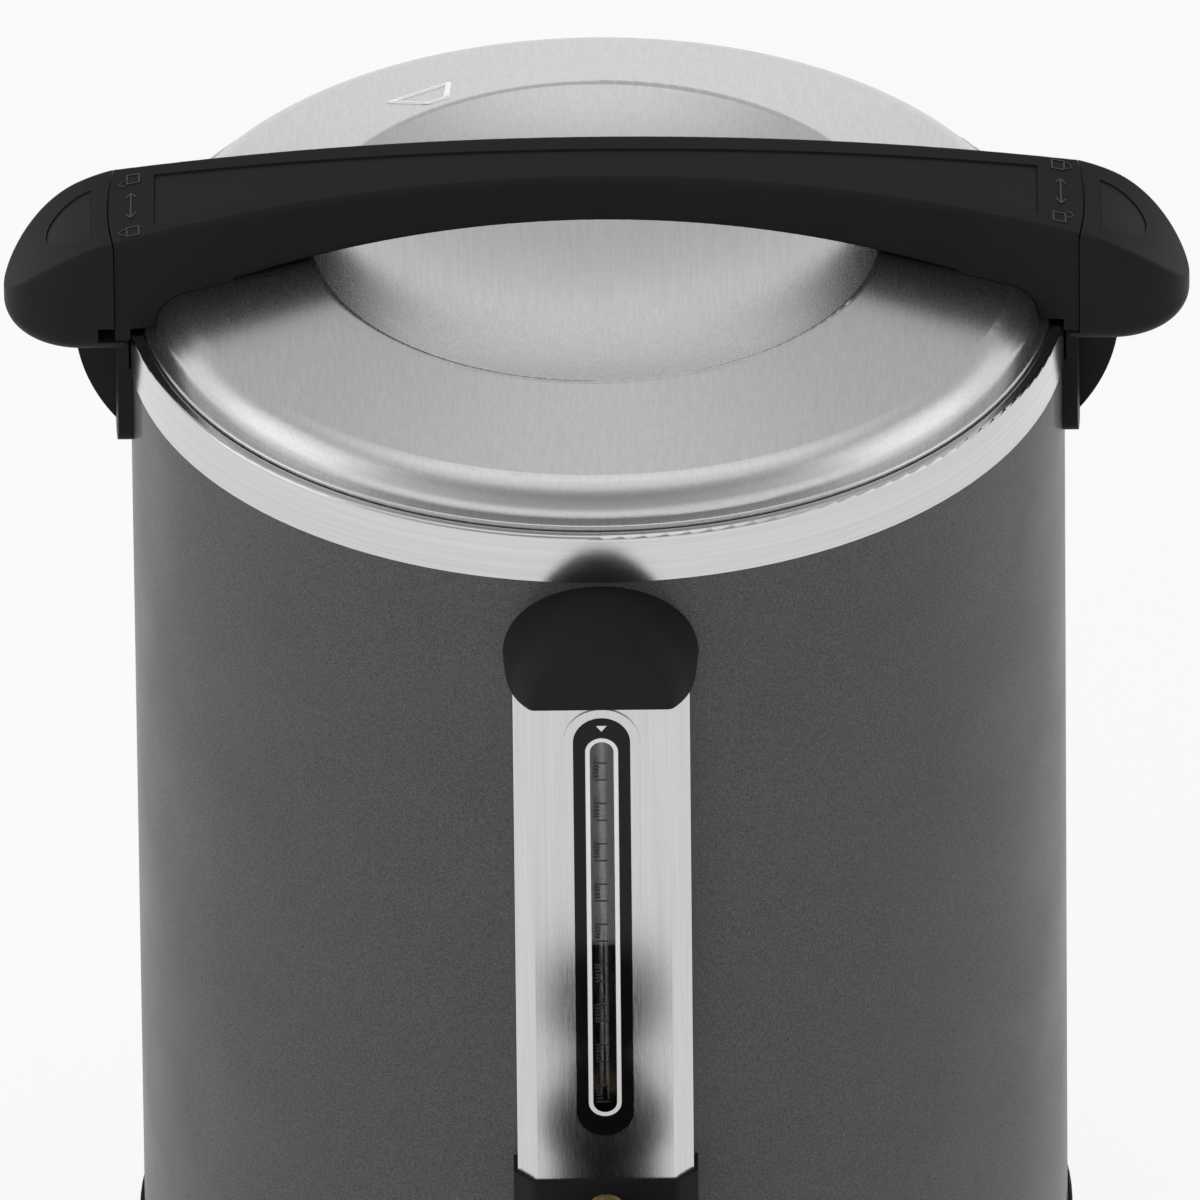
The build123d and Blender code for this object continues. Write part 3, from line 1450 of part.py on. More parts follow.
# Spreader: perforated lid of the basket with a rim that hangs on the cup
with BuildPart() as spreader:
    with BuildSketch(Plane.XZ):
        spreader_radius = basket_radius - basket_sheet - slide_gap
        with BuildLine():
            Polyline(
                (sleeve_inner, basket_top - spreader_drop),
                (spreader_radius, basket_top - spreader_drop),
                (spreader_radius, basket_top),
                (basket_radius + spreader_lip, basket_top),
                (basket_radius + spreader_lip, basket_top + basket_sheet),
                (spreader_radius - basket_sheet, basket_top + basket_sheet),
                (spreader_radius - basket_sheet, basket_top - spreader_drop + basket_sheet),
                (sleeve_inner, basket_top - spreader_drop + basket_sheet),
                close=True,
            )
        make_face()
    revolve(axis=Axis.Z)
    with BuildSketch(Plane.XY.offset(basket_top - spreader_drop)):
        for ring in range(basket_hole_rings):
            ring_radius = basket_hole_first + ring * basket_hole_pitch
            with PolarLocations(ring_radius, spreader_hole_count * (ring + 1)):
                Circle(spreader_hole_radius)
    extrude(amount=basket_sheet, mode=Mode.SUBTRACT)
save(spreader, "spreader")
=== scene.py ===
import json
from math import cos, radians, sin, sqrt, tan
import bmesh
import bpy
from mathutils import Matrix, Vector


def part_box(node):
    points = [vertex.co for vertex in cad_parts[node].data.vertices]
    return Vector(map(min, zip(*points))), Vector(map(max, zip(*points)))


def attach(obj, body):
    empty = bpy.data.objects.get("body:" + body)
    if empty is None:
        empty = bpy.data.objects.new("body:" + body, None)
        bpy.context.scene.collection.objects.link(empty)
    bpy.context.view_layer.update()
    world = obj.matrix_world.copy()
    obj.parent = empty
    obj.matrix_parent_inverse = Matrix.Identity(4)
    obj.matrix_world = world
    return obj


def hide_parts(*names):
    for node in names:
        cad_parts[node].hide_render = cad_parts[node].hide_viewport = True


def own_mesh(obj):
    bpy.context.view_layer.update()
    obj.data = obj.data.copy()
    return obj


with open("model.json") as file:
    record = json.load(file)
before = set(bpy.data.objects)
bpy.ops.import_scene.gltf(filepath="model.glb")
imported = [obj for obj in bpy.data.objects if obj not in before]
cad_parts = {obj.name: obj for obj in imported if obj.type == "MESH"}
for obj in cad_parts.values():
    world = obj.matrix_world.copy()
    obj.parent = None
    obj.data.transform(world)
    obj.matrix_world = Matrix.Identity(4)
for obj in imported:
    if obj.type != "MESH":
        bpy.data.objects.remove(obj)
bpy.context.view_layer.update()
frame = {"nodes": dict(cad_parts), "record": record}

nodes = frame["nodes"]
mm = 0.001
rim = 366.0  # height of the shell above the table
scene = bpy.context.scene
scene.view_settings.view_transform = "Standard"


# small helpers for node trees
def addNode(tree, kind, at, **settings):
    node = tree.nodes.new(kind)
    node.location = at
    for key, value in settings.items():
        setattr(node, key, value)
    return node


def join(tree, source, output, target, entry):
    tree.links.new(source.outputs[output], target.inputs[entry])


def setSockets(node, **values):
    for label, value in values.items():
        node.inputs[label].default_value = value


def addNoise(tree, at, **values):
    node = addNode(tree, "ShaderNodeTexNoise", at)
    setSockets(node, **values)
    return node


def addRange(tree, at, *limits):  # from low, from high, to low, to high
    node = addNode(tree, "ShaderNodeMapRange", at)
    for index, value in enumerate(limits):
        node.inputs[index + 1].default_value = value
    return node


# finishes that several materials share: each gives a height for bumps and a mask for tones
def startGroup(name, entries):
    group = bpy.data.node_groups.new(name, "ShaderNodeTree")
    group.interface.new_socket("Vector", in_out="INPUT", socket_type="NodeSocketVector")
    for label, value in entries.items():
        kind = "NodeSocketVector" if isinstance(value, tuple) else "NodeSocketFloat"
        group.interface.new_socket(label, in_out="INPUT", socket_type=kind).default_value = value
    for label in ("Height", "Tone"):
        group.interface.new_socket(label, in_out="OUTPUT", socket_type="NodeSocketFloat")
    return group, addNode(group, "NodeGroupInput", (-900, 0)), addNode(group, "NodeGroupOutput", (700, 0))


moulded = {"Pebbles": 2600.0, "Patches": 45.0}
mouldedDetail = {"Pebbles": 2.0, "Patches": 4.0}


def buildGrain():  # moulded plastic skin: fine pebbles and slow patches
    group, start, end = startGroup("mouldedSkin", moulded)
    for label, output, y in (("Pebbles", "Height", 200), ("Patches", "Tone", -200)):
        spots = addNoise(group, (-400, y), Detail=mouldedDetail[label])
        join(group, start, "Vector", spots, "Vector")
        join(group, start, label, spots, "Scale")
        join(group, spots, "Fac", end, output)
    return group


straight = {"Stretch": (9000.0, 120.0, 9000.0)}
around = {"Fineness": 9000.0, "Length": 14.0}
brushed = {"Height": {"Scale": 1.0, "Detail": 3.0}, "Tone": {"Scale": 0.12, "Detail": 5.0}}


def addBrushing(group, source, end, x):  # fine lines for the height, wider streaks for the tone
    for output, y in (("Height", 200), ("Tone", -200)):
        lines = addNoise(group, (x, y), **brushed[output])
        join(group, source, "Vector", lines, "Vector")
        join(group, lines, "Fac", end, output)


def buildStraightBrush():  # fine parallel lines: a low stretch on an axis makes them long there
    group, start, end = startGroup("straightBrush", straight)
    spread = addNode(group, "ShaderNodeVectorMath", (-650, 0), operation="MULTIPLY")
    join(group, start, "Vector", spread, 0)
    join(group, start, "Stretch", spread, 1)
    addBrushing(group, spread, end, -400)
    return group


def addProduct(group, at, source, output, start, label):
    product = addNode(group, "ShaderNodeMath", at, operation="MULTIPLY")
    join(group, source, output, product, 0)
    join(group, start, label, product, 1)
    return product


def buildRoundBrush():  # lines that run round the urn's axis
    group, start, end = startGroup("roundBrush", around)
    parts = addNode(group, "ShaderNodeSeparateXYZ", (-800, 200))
    join(group, start, "Vector", parts, "Vector")
    turn = addNode(group, "ShaderNodeMath", (-620, 300), operation="ARCTAN2")
    join(group, parts, "Y", turn, 0)
    join(group, parts, "X", turn, 1)
    flat = addNode(group, "ShaderNodeVectorMath", (-620, 80), operation="MULTIPLY")
    flat.inputs[1].default_value = (1.0, 1.0, 0.0)
    join(group, start, "Vector", flat, 0)
    reach = addNode(group, "ShaderNodeVectorMath", (-460, 80), operation="LENGTH")
    join(group, flat, "Vector", reach, 0)
    gather = addNode(group, "ShaderNodeCombineXYZ", (-120, 120))
    join(group, addProduct(group, (-300, 80), reach, "Value", start, "Fineness"), 0, gather, "X")
    join(group, addProduct(group, (-300, 300), turn, 0, start, "Length"), 0, gather, "Y")
    join(group, addProduct(group, (-300, -80), parts, "Z", start, "Fineness"), 0, gather, "Z")
    addBrushing(group, gather, end, 100)
    return group


grain = buildGrain()
straightBrush = buildStraightBrush()
roundBrush = buildRoundBrush()
print("finish groups built")


def startMaterial(name):
    material = bpy.data.materials.new(name)
    material.use_nodes = True
    tree = material.node_tree
    shader = tree.nodes["Principled BSDF"]
    place = addNode(tree, "ShaderNodeTexCoord", (-1300, 0))
    return material, tree, shader, place


def useGroup(tree, place, group, **values):
    node = addNode(tree, "ShaderNodeGroup", (-1000, 0), node_tree=group)
    join(tree, place, "Object", node, "Vector")
    setSockets(node, **values)
    return node


maskSpan = (0.3, 0.7)  # where the masks of the groups lie


def spanColor(tree, source, output, low, high, shader):  # base colour between two colours
    blend = addNode(tree, "ShaderNodeMix", (-500, 200), data_type="RGBA")
    blend.inputs[6].default_value = (*low, 1.0)
    blend.inputs[7].default_value = (*high, 1.0)
    join(tree, source, output, blend, 0)
    join(tree, blend, 2, shader, "Base Color")


def spanRoughness(tree, source, output, low, high, shader):
    change = addRange(tree, (-500, -100), *maskSpan, low, high)
    join(tree, source, output, change, 0)
    join(tree, change, 0, shader, "Roughness")


def addBump(tree, source, shader, strength, depth):
    bump = addNode(tree, "ShaderNodeBump", (-300, -400))
    setSockets(bump, Strength=strength, Distance=depth * mm)
    join(tree, source, "Height", bump, "Height")
    join(tree, bump, "Normal", shader, "Normal")


def grey(value):
    return (value, value, value)


# dark metallic paint: flakes in the base under a clear coat
paint = {
    "dark": (0.042, 0.042, 0.043), "light": (0.098, 0.098, 0.099), "rough": (0.42, 0.52),
    "metallic": 0.3, "shine": 0.3, "flake": 2400.0, "flakeDetail": 1.0, "flakeSpan": (0.36, 0.68),
    "pebbles": 900.0, "patches": 30.0, "bump": 0.03, "depth": 0.2,
    "coat": 0.16, "coatRough": 0.06, "coatIndex": 1.5,
}


def makePaint():
    material, tree, shader, place = startMaterial("shellPaint")
    flakes = addNoise(tree, (-1000, 200), Scale=paint["flake"], Detail=paint["flakeDetail"])
    join(tree, place, "Object", flakes, "Vector")
    sharpen = addRange(tree, (-750, 200), *paint["flakeSpan"], 0.0, 1.0)
    join(tree, flakes, "Fac", sharpen, 0)
    spanColor(tree, sharpen, 0, paint["dark"], paint["light"], shader)
    skin = useGroup(tree, place, grain, Pebbles=paint["pebbles"], Patches=paint["patches"])
    spanRoughness(tree, skin, "Tone", *paint["rough"], shader)
    addBump(tree, skin, shader, paint["bump"], paint["depth"])
    shader.inputs["Metallic"].default_value = paint["metallic"]
    shader.inputs["Specular IOR Level"].default_value = paint["shine"]
    shader.inputs["Coat Weight"].default_value = paint["coat"]
    shader.inputs["Coat Roughness"].default_value = paint["coatRough"]
    shader.inputs["Coat IOR"].default_value = paint["coatIndex"]
    return material


# brushed stainless: front to back on the lid, upright on the channel, round the axis on tank and band
steel = {"dark": (0.55, 0.55, 0.545), "light": (0.70, 0.70, 0.695), "depth": 0.15}
# vent pointer ridge: a much lighter steel tone than the lid, a painted highlight along the raised outline
ridgeHighlightTone = {"dark": (0.90, 0.90, 0.895), "light": (0.97, 0.97, 0.965)}
lidLines = {"Stretch": (9000.0, 260.0, 9000.0)}
channelLines = {"Stretch": (9000.0, 9000.0, 150.0)}
tankLines = {"Fineness": 5000.0}
bandLines = {"Fineness": 9000.0, "Length": 10.0}


def makeSteel(name, group, values, rough, bump=0.05, tone=steel):
    material, tree, shader, place = startMaterial(name)
    brush = useGroup(tree, place, group, **values)
    spanColor(tree, brush, "Tone", tone["dark"], tone["light"], shader)
    spanRoughness(tree, brush, "Height", *rough, shader)
    addBump(tree, brush, shader, bump, steel["depth"])
    shader.inputs["Metallic"].default_value = 1.0
    return material


# plastics, rubber and printed marks
plastic = {"depth": 0.12, "coatRough": 0.05}


def makePlastic(name, dark, light, rough, pebbles=2600.0, bump=0.08, coat=0.0, shine=0.5):
    material, tree, shader, place = startMaterial(name)
    skin = useGroup(tree, place, grain, Pebbles=pebbles)
    spanColor(tree, skin, "Tone", dark, light, shader)
    spanRoughness(tree, skin, "Tone", *rough, shader)
    addBump(tree, skin, shader, bump, plastic["depth"])
    shader.inputs["Specular IOR Level"].default_value = shine
    shader.inputs["Coat Weight"].default_value = coat
    shader.inputs["Coat Roughness"].default_value = plastic["coatRough"]
    return material


# plated, cast or turned metal
metal = {"patches": 120.0, "bump": 0.04, "depth": 0.1}


def makeMetal(name, dark, light, rough, pebbles=1500.0):
    material, tree, shader, place = startMaterial(name)
    skin = useGroup(tree, place, grain, Pebbles=pebbles, Patches=metal["patches"])
    spanColor(tree, skin, "Tone", dark, light, shader)
    spanRoughness(tree, skin, "Height", *rough, shader)
    addBump(tree, skin, shader, metal["bump"], metal["depth"])
    shader.inputs["Metallic"].default_value = 1.0
    return material


# clear pieces of the gauge
clear = {"pale": (0.97, 0.98, 0.98), "pebbles": 400.0, "patches": 60.0}


def makeGlass(name, tint, index, rough):
    material, tree, shader, place = startMaterial(name)
    skin = useGroup(tree, place, grain, Pebbles=clear["pebbles"], Patches=clear["patches"])
    spanColor(tree, skin, "Tone", tint, clear["pale"], shader)
    spanRoughness(tree, skin, "Tone", *rough, shader)
    shader.inputs["Transmission Weight"].default_value = 1.0
    shader.inputs["IOR"].default_value = index
    return material


lens = {"rough": (0.08, 0.16), "pebbles": 700.0, "bump": 0.02, "coat": 0.5}
ink = {"pebbles": 3000.0, "bump": 0.03}
finishes = {
    "painted_shell": makePaint(),
    "brushed_steel": makeSteel("lidSteel", straightBrush, lidLines, (0.22, 0.32)),
    "channel_steel": makeSteel("channelSteel", straightBrush, channelLines, (0.2, 0.3)),
    "tank_steel": makeSteel("tankSteel", roundBrush, tankLines, (0.25, 0.38)),
    "black_plastic": makePlastic(
        "handleBlack", (0.014, 0.014, 0.0142), (0.019, 0.019, 0.0192), (0.38, 0.46), shine=0.03),
    "inlay_plastic": makePlastic(
        "inlayBlack", (0.012, 0.012, 0.0122), (0.016, 0.016, 0.0162), (0.30, 0.38),
        pebbles=5200.0, bump=0.05, shine=0.04),
    "gauge_black": makePlastic(
        "gaugeBlack", grey(0.003), grey(0.005), (0.12, 0.2), pebbles=900.0, bump=0.02, shine=0.2),
    "clear_window": makeGlass("gaugeWindow", (0.93, 0.94, 0.94), 1.49, (0.01, 0.05)),
    "clear_tube": makeGlass("gaugeTube", (0.95, 0.96, 0.96), 1.47, (0.0, 0.02)),
    "back_strip": makePlastic("stripGrey", grey(0.10), grey(0.14), (0.4, 0.55), pebbles=1800.0, bump=0.05),
    "seal_rubber": makePlastic("sealRubber", grey(0.018), grey(0.03), (0.62, 0.8), pebbles=1600.0, bump=0.15),
    "fixing_steel": makeMetal("platedSteel", grey(0.5), grey(0.66), (0.16, 0.3)),
    "valve_brass": makeMetal("valveBrass", (0.52, 0.36, 0.14), (0.68, 0.5, 0.22), (0.2, 0.34)),
    "lamp_amber": makePlastic("amberLens", (0.62, 0.2, 0.02), (0.8, 0.32, 0.04), **lens),
    "lamp_green": makePlastic("greenLens", (0.04, 0.36, 0.08), (0.08, 0.5, 0.12), **lens),
    "rocker_black": makePlastic(
        "rockerBlack", grey(0.012), grey(0.02), (0.2, 0.3), pebbles=900.0, bump=0.03, coat=0.2),
    "heater_cast": makeMetal("heaterCast", grey(0.4), grey(0.55), (0.4, 0.55), pebbles=700.0),
    "terminal_plastic": makePlastic("terminalCream", (0.6, 0.57, 0.5), (0.7, 0.67, 0.6), (0.4, 0.5)),
}
bandSteel = makeSteel("bandSteel", roundBrush, bandLines, (0.13, 0.2))
# lighter copy of the lid steel for the vent pointer ridge: painted highlight
ridgeHighlightSteel = makeSteel("ridgeHighlightSteel", straightBrush, lidLines, (0.14, 0.22), bump=0.03, tone=ridgeHighlightTone)
printWhite = makePlastic("printWhite", (0.74, 0.74, 0.73), (0.82, 0.82, 0.81), (0.35, 0.45), **ink)
printBlack = makePlastic("printBlack", grey(0.010), grey(0.016), (0.4, 0.5), **ink)
# darker, glossier black than the handle for the lock and arrow marks: painted shade of the engraved lines
engravedShadeBlack = makePlastic("engravedShadeBlack", grey(0.004), grey(0.006), (0.18, 0.26), pebbles=3000.0, bump=0.02)
print("materials made")

# CAD nodes take the finish of their slot
slotOf = {entry["node"]: entry["material_slot"] for entry in frame["record"]["subparts"]}
for name, piece in nodes.items():
    finish = bandSteel if name == "rim_band" else finishes[slotOf[name]]
    for spot in piece.material_slots:
        spot.material = finish
    if not piece.material_slots:
        piece.data.materials.append(finish)
print("nodes dressed:", len(nodes))


# steps that the pieces share
mesher = {"weld": 0.002, "smooth": 35.0}


def finishPiece(bm, name, body, material, smooth=mesher["smooth"]):  # a mesh that rides on a body
    bmesh.ops.remove_doubles(bm, verts=bm.verts, dist=mesher["weld"] * mm)
    bmesh.ops.recalc_face_normals(bm, faces=bm.faces)
    mesh = bpy.data.meshes.new(name)
    bm.to_mesh(mesh)
    bm.free()
    mesh.materials.append(material)
    mesh.shade_smooth()
    mesh.set_sharp_from_angle(angle=radians(smooth))
    piece = bpy.data.objects.new(name, mesh)
    scene.collection.objects.link(piece)
    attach(piece, body)
    return piece


def thicken(bm, *shift):  # gives all flat faces a thickness along a vector
    raised = bmesh.ops.extrude_face_region(bm, geom=bm.faces[:])
    tops = [item for item in raised["geom"] if isinstance(item, bmesh.types.BMVert)]
    bmesh.ops.translate(bm, vec=[part * mm for part in shift], verts=tops)


def flatFace(bm, points):
    bm.faces.new([bm.verts.new(Vector(point) * mm) for point in points])


def frontPlate(bm, left, right, low, high, y):  # a rectangle that faces the front
    flatFace(bm, [(left, y, low), (right, y, low), (right, y, high), (left, y, high)])


def frontDisc(bm, radius, segments):
    upright = Matrix.Rotation(radians(90), 4, "X")
    disc = bmesh.ops.create_circle(bm, cap_ends=True, radius=radius * mm, segments=segments, matrix=upright)
    return disc["verts"]


def frameOf(bm, width):  # leaves a border of the only face
    bm.normal_update()
    face = bm.faces[:][0]
    bmesh.ops.inset_region(bm, faces=[face], thickness=width * mm, use_even_offset=True, use_boundary=True)
    bmesh.ops.delete(bm, geom=[face], context="FACES_ONLY")


def turnAll(bm, degrees):  # about the urn's axis
    bmesh.ops.rotate(bm, verts=bm.verts, cent=(0, 0, 0), matrix=Matrix.Rotation(radians(degrees), 3, "Z"))


# lid: raised outline of the vent pointer, on the sloping ring at the back left, in a lighter steel that
# paints its highlight
pointer = {
    "turn": 121.3, "outer": 97.0, "inner": 86.0, "wide": 11.25, "narrow": 3.6, "ridge": 1.8, "sunk": 0.15,
    "foot": 0.2, "rise": 0.3, "flank": 0.25, "longEdge": 4.0, "cuts": 5, "level": 0.9, "smooth": 60.0,
}
lidShape = {"crown": rim + 20.9, "bowl": 82.0, "slope": 12.5}


def ringHeight(x, y):
    reach = sqrt(x * x + y * y) / mm
    return (lidShape["crown"] - (reach - lidShape["bowl"]) * tan(radians(lidShape["slope"]))) * mm


def makePointer():
    bm = bmesh.new()
    outer, inner, wide, narrow = (pointer[label] for label in ("outer", "inner", "wide", "narrow"))
    flatFace(bm, [(outer, -wide, 0), (outer, wide, 0), (inner, narrow, 0), (inner, -narrow, 0)])
    frameOf(bm, pointer["ridge"])
    longEdges = [edge for edge in bm.edges if edge.calc_length() > pointer["longEdge"] * mm]
    bmesh.ops.subdivide_edges(bm, edges=longEdges, cuts=pointer["cuts"])
    thicken(bm, 0, 0, pointer["foot"])
    bmesh.ops.recalc_face_normals(bm, faces=bm.faces)
    bm.normal_update()
    tops = [face for face in bm.faces if face.normal.z > pointer["level"]]
    bmesh.ops.inset_region(bm, faces=tops, thickness=pointer["flank"] * mm, depth=pointer["rise"] * mm,
                           use_even_offset=True, use_boundary=True)
    turnAll(bm, pointer["turn"])
    for vert in bm.verts:
        vert.co.z += ringHeight(vert.co.x, vert.co.y) - pointer["sunk"] * mm
    finishPiece(bm, "vent_pointer", "lid", ridgeHighlightSteel, pointer["smooth"])


makePointer()
print("lid pointer made")

# bridge handle: lock marks and a double arrow beside each end of the inlay, in a darker black that paints the
# shade of their engraved lines
bridge = {"top": rim + 45.4, "radius": 634.5, "place": 131.5, "stroke": 0.45, "proud": 0.18, "sunk": 0.4}
lockMark = {
    "long": 3.4, "wide": 4.6, "shackle": 1.5, "neck": 0.6, "bends": 8, "swing": 1.95,
    "closed": 15.6, "open": -13.0,
}
arrowMark = {"half": 6.6, "head": 2.2, "spread": 1.32, "middle": 1.4, "shift": 0.6}


def bridgeHeight(x):
    reach = x / mm
    return (bridge["top"] - bridge["radius"] + sqrt(bridge["radius"] ** 2 - reach * reach)) * mm


def strokePath(bm, points):  # a flat band along a run of points
    for first, second in zip(points, points[1:]):
        start, end = Vector((*first, 0)), Vector((*second, 0))
        along = (end - start).normalized() * bridge["stroke"] / 2
        across = Vector((-along.y, along.x, 0))
        start, end = start - along, end + along
        flatFace(bm, [start - across, end - across, end + across, start + across])


def lockOutline(bm, middle, opened):
    low, high = middle - lockMark["wide"] / 2, middle + lockMark["wide"] / 2
    back = bridge["place"] - lockMark["long"] / 2
    front = back + lockMark["long"]
    strokePath(bm, [(back, low), (front, low), (front, high), (back, high), (back, low)])
    side = middle + lockMark["swing"] if opened else middle
    loop = []
    for step in range(lockMark["bends"] + 1):
        turn = radians(180 * step / lockMark["bends"] - 90)
        x = front + lockMark["neck"] + lockMark["shackle"] * cos(turn)
        loop.append((x, side + lockMark["shackle"] * sin(turn)))
    strokePath(bm, [(front, loop[0][1])] + loop + ([] if opened else [(front, loop[-1][1])]))


def makeMarks(name, turn):
    bm = bmesh.new()
    lockOutline(bm, lockMark["closed"], False)
    lockOutline(bm, lockMark["open"], True)
    x, middle, half = bridge["place"] + arrowMark["shift"], arrowMark["middle"], arrowMark["half"]
    strokePath(bm, [(x, middle - half), (x, middle + half)])
    for side in (1, -1):
        tip = middle + side * half
        foot = tip - side * arrowMark["head"]
        strokePath(bm, [(x - arrowMark["spread"], foot), (x, tip), (x + arrowMark["spread"], foot)])
    thicken(bm, 0, 0, bridge["proud"] + bridge["sunk"])
    for vert in bm.verts:
        vert.co.z += bridgeHeight(vert.co.x) - bridge["sunk"] * mm
    turnAll(bm, turn)
    finishPiece(bm, name, "lid", engravedShadeBlack)


makeMarks("lock_marks_right", 0.0)
makeMarks("lock_marks_left", 180.0)
print("lock marks made")

# gauge: outline and scale printed on the window, level mark on its dark frame
gauge = {"front": 147.5, "frame": 147.7, "middle": rim - 120.3, "reach": 58.5, "print": 0.1}
outline = {"outer": 9.3, "inner": 6.8, "segments": 64}
scale = {
    "first": rim - 65.4, "groups": 9, "pitch": 13.45, "lines": 6, "step": 1.12,
    "start": -2.5, "long": 3.8, "short": 1.6, "stroke": 0.5,
}
levelMark = {"height": rim - 52.9, "wide": 3.0, "tall": 1.9}


def makeOutline():
    bm = bmesh.new()
    ring = frontDisc(bm, outline["outer"] / 2, outline["segments"])
    for vert in ring:
        vert.co.z += gauge["reach"] * mm if vert.co.z > 0 else -gauge["reach"] * mm
    bmesh.ops.translate(bm, vec=(0, -gauge["front"] * mm, gauge["middle"] * mm), verts=ring)
    frameOf(bm, (outline["outer"] - outline["inner"]) / 2)
    thicken(bm, 0, -gauge["print"], 0)
    finishPiece(bm, "gauge_outline", "urn", printWhite)


def makeScale():
    bm = bmesh.new()
    left, half = scale["start"], scale["stroke"] / 2
    for group in range(scale["groups"]):
        for line in range(scale["lines"]):
            reach = scale["long"] if line in (0, scale["lines"] - 1) else scale["short"]
            z = scale["first"] - group * scale["pitch"] - line * scale["step"]
            frontPlate(bm, left, left + reach, z - half, z + half, -gauge["front"])
    thicken(bm, 0, -gauge["print"], 0)
    finishPiece(bm, "gauge_scale", "urn", printBlack)


def makeLevelMark():  # plain pointer for the highest level
    bm = bmesh.new()
    half, top, y = levelMark["wide"] / 2, levelMark["height"], -gauge["frame"]
    flatFace(bm, [(-half, y, top), (0, y, top - levelMark["tall"]), (half, y, top)])
    thicken(bm, 0, -gauge["print"], 0)
    finishPiece(bm, "gauge_level_mark", "urn", printWhite)


makeOutline()
makeScale()
makeLevelMark()
print("gauge prints made")

# power rocker: a bar on the upper face and a ring on the lower one
rocker = {"axis": (-137.2, 34.0), "tilt": 9.0, "dip": 1.3, "half": 4.8}
rockerMark = {
    "middle": 2.5, "bar": (0.7, 2.6), "ring": 1.35, "segments": 40, "stroke": 0.55, "sunk": 0.2, "rise": 0.12,
}


def makeRockerMarks():
    bm = bmesh.new()
    middle, (wide, tall) = rockerMark["middle"], rockerMark["bar"]
    ring = frontDisc(bm, rockerMark["ring"], rockerMark["segments"])
    bmesh.ops.translate(bm, vec=(0, 0, -middle * mm), verts=ring)
    frameOf(bm, rockerMark["stroke"])
    frontPlate(bm, -wide / 2, wide / 2, middle - tall / 2, middle + tall / 2, 0)
    thicken(bm, 0, -rockerMark["sunk"] - rockerMark["rise"], 0)
    lean, slope = radians(rocker["tilt"]), rocker["dip"] / rocker["half"]
    for vert in bm.verts:  # bent to the rocker's hollow face and leaned with it
        height = vert.co.z / mm
        depth = vert.co.y / mm + rockerMark["sunk"] - rocker["dip"] - slope * abs(height)
        vert.co.y = (rocker["axis"][0] + depth * cos(lean) - height * sin(lean)) * mm
        vert.co.z = (rocker["axis"][1] + depth * sin(lean) + height * cos(lean)) * mm
    finishPiece(bm, "rocker_marks", "rocker", printWhite)


makeRockerMarks()
print("rocker marks made")

# valve spring: coiled wire
spring = {"turns": 5.5, "wire": 0.55, "sides": 10, "steps": 26, "lift": 5.88}


def makeSpring():
    low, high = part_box("valve_spring")
    wire = spring["wire"] * mm
    reach = (high.x - low.x) / 2 - wire
    rise = high.z - low.z - 2 * wire
    middle = (low + high) / 2
    steps = int(spring["turns"] * spring["steps"])
    bm = bmesh.new()
    end = Matrix.Translation((middle.x + reach, middle.y, low.z + wire))
    upright = Matrix.Rotation(radians(90), 4, "X") @ Matrix.Rotation(radians(90), 4, "Z")
    bmesh.ops.create_circle(bm, cap_ends=True, radius=wire, segments=spring["sides"], matrix=end @ upright)
    bmesh.ops.spin(bm, geom=bm.verts[:] + bm.edges[:] + bm.faces[:], cent=(middle.x, middle.y, 0),
                   axis=(0, 0, 1), dvec=(0, 0, rise / steps), angle=radians(360 * spring["turns"]),
                   steps=steps)
    coil = finishPiece(bm, "valve_coil", "urn", finishes["fixing_steel"])
    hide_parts("valve_spring")
    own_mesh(coil)


makeSpring()
print("valve spring made")

# studio: floor, sky, lamps and camera
floorLook = {
    "size": 6.0, "white": 0.88, "lift": 0.02, "rough": 0.8, "pebbles": 300.0, "patches": 3.0,
    "glow": 1.0, "seen": 0.85,
}
sky = [  # upward part of the direction, and brightness
    (0.0, 1.0), (0.2, 0.97), (0.38, 0.94), (0.53, 0.69), (0.66, 0.54),
    (0.8, 0.58), (0.84, 0.64), (0.92, 0.92), (1.0, 0.95),
]
skyFront = {"from": -0.9, "to": -0.2, "dimmed": 0.45}  # the sky is dimmer towards the front
lamps = [
    {"name": "topSoftbox", "at": (0.0, 0.5, 2.2), "aim": (0.0, 0.05, 0.3), "size": (1.6, 1.0), "power": 0.8},
    {"name": "leftSoftbox", "at": (-1.7, -0.3, 0.9), "aim": (0.0, 0.0, 0.25),
     "size": (1.2, 1.8), "power": 3.0},
    {"name": "rightSoftbox", "at": (1.7, -0.3, 0.9), "aim": (0.0, 0.0, 0.25),
     "size": (1.2, 1.8), "power": 2.5},
    {"name": "frontSoftbox", "at": (-0.8, -2.1, 1.0), "aim": (0.0, 0.0, 0.35),
     "size": (1.6, 1.2), "power": 15.0, "mirrored": False},
]
view = {
    "elevation": 31.8, "roll": -0.6, "aim": rim * mm - 0.1027, "distance": 12.0,
    "lens": 1260.0, "sensor": 36.0,
}


def seenDirectly(tree):  # camera, mirror and glass rays see the plain background
    path = addNode(tree, "ShaderNodeLightPath", (-900, 300))
    first = addNode(tree, "ShaderNodeMath", (-700, 300), operation="MAXIMUM")
    second = addNode(tree, "ShaderNodeMath", (-500, 300), operation="MAXIMUM")
    join(tree, path, "Is Camera Ray", first, 0)
    join(tree, path, "Is Glossy Ray", first, 1)
    join(tree, first, 0, second, 0)
    join(tree, path, "Is Transmission Ray", second, 1)
    return second


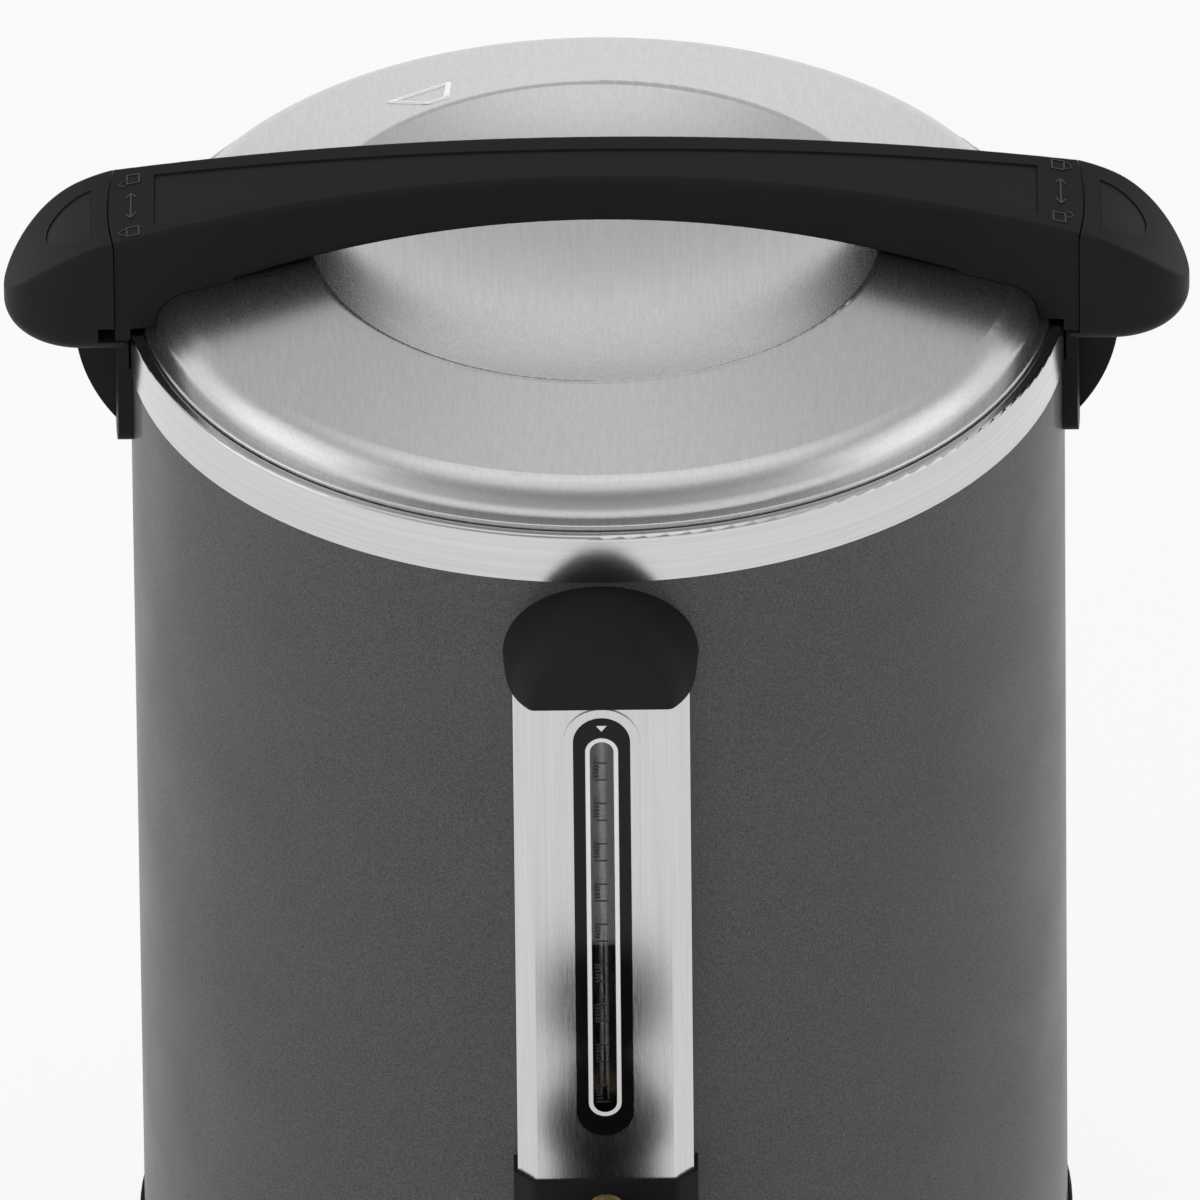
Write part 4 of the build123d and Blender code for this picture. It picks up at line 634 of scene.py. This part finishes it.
def makeFloor():
    bm = bmesh.new()
    bmesh.ops.create_grid(bm, x_segments=1, y_segments=1, size=floorLook["size"])
    mesh = bpy.data.meshes.new("studioFloor")
    bm.to_mesh(mesh)
    bm.free()
    floor = bpy.data.objects.new("studioFloor", mesh)
    scene.collection.objects.link(floor)
    material, tree, shader, place = startMaterial("paleFloor")
    skin = useGroup(tree, place, grain, Pebbles=floorLook["pebbles"], Patches=floorLook["patches"])
    white = floorLook["white"]
    spanColor(tree, skin, "Tone", grey(white), grey(white + floorLook["lift"]), shader)
    shader.inputs["Roughness"].default_value = floorLook["rough"]
    glow = addNode(tree, "ShaderNodeEmission", (0, -300))
    glow.inputs["Strength"].default_value = floorLook["glow"]
    part = addNode(tree, "ShaderNodeMath", (-300, 300), operation="MULTIPLY")
    part.inputs[1].default_value = floorLook["seen"]
    join(tree, seenDirectly(tree), 0, part, 0)
    blend = addNode(tree, "ShaderNodeMixShader", (300, 0))
    join(tree, part, 0, blend, 0)
    join(tree, shader, "BSDF", blend, 1)
    join(tree, glow, "Emission", blend, 2)
    join(tree, blend, "Shader", tree.nodes["Material Output"], "Surface")
    mesh.materials.append(material)


def makeWorld():
    world = bpy.data.worlds.new("studioWorld")
    scene.world = world
    world.use_nodes = True
    tree = world.node_tree
    back = tree.nodes["Background"]
    place = addNode(tree, "ShaderNodeTexCoord", (-1100, 0))
    parts = addNode(tree, "ShaderNodeSeparateXYZ", (-900, 0))
    join(tree, place, "Generated", parts, "Vector")
    rise = addNode(tree, "ShaderNodeValToRGB", (-700, 0))
    stops = rise.color_ramp.elements
    for index, (height, value) in enumerate(sky):
        stop = stops[index] if index < 2 else stops.new(height)
        stop.position = height
        stop.color = (*grey(value), 1.0)
    join(tree, parts, "Z", rise, 0)
    front = addRange(tree, (-700, -250), skyFront["from"], skyFront["to"], skyFront["dimmed"], 1.0)
    join(tree, parts, "Y", front, 0)
    both = addNode(tree, "ShaderNodeMath", (-450, -100), operation="MULTIPLY")
    join(tree, rise, "Color", both, 0)
    join(tree, front, 0, both, 1)
    path = addNode(tree, "ShaderNodeLightPath", (-900, 300))
    level = addNode(tree, "ShaderNodeMix", (-450, 100), data_type="FLOAT")
    join(tree, path, "Is Camera Ray", level, 0)
    join(tree, both, 0, level, 2)
    level.inputs[3].default_value = 1.0
    join(tree, level, 0, back, "Strength")
    back.inputs["Color"].default_value = (1.0, 1.0, 1.0, 1.0)


def aimAt(piece, at, aim):
    piece.location = at
    piece.rotation_euler = (Vector(aim) - Vector(at)).to_track_quat("-Z", "Y").to_euler()


def makeLamps():
    for lamp in lamps:
        data = bpy.data.lights.new(lamp["name"], "AREA")
        data.shape = "RECTANGLE"
        data.size, data.size_y = lamp["size"]
        data.energy = lamp["power"]
        light = bpy.data.objects.new(lamp["name"], data)
        scene.collection.objects.link(light)
        aimAt(light, lamp["at"], lamp["aim"])
        light.visible_camera = False
        light.visible_glossy = lamp.get("mirrored", True)


def makeCamera():
    data = bpy.data.cameras.new("photoView")
    data.lens = view["lens"]
    data.sensor_width = view["sensor"]
    camera = bpy.data.objects.new("photoView", data)
    scene.collection.objects.link(camera)
    tilt = radians(view["elevation"])
    turn = Matrix.Rotation(radians(90) - tilt, 4, "X") @ Matrix.Rotation(radians(view["roll"]), 4, "Z")
    spot = Vector((0, -cos(tilt) * view["distance"], view["aim"] + sin(tilt) * view["distance"]))
    camera.matrix_world = Matrix.Translation(spot) @ turn
    scene.camera = camera


makeFloor()
makeWorld()
makeLamps()
makeCamera()
print("studio ready")
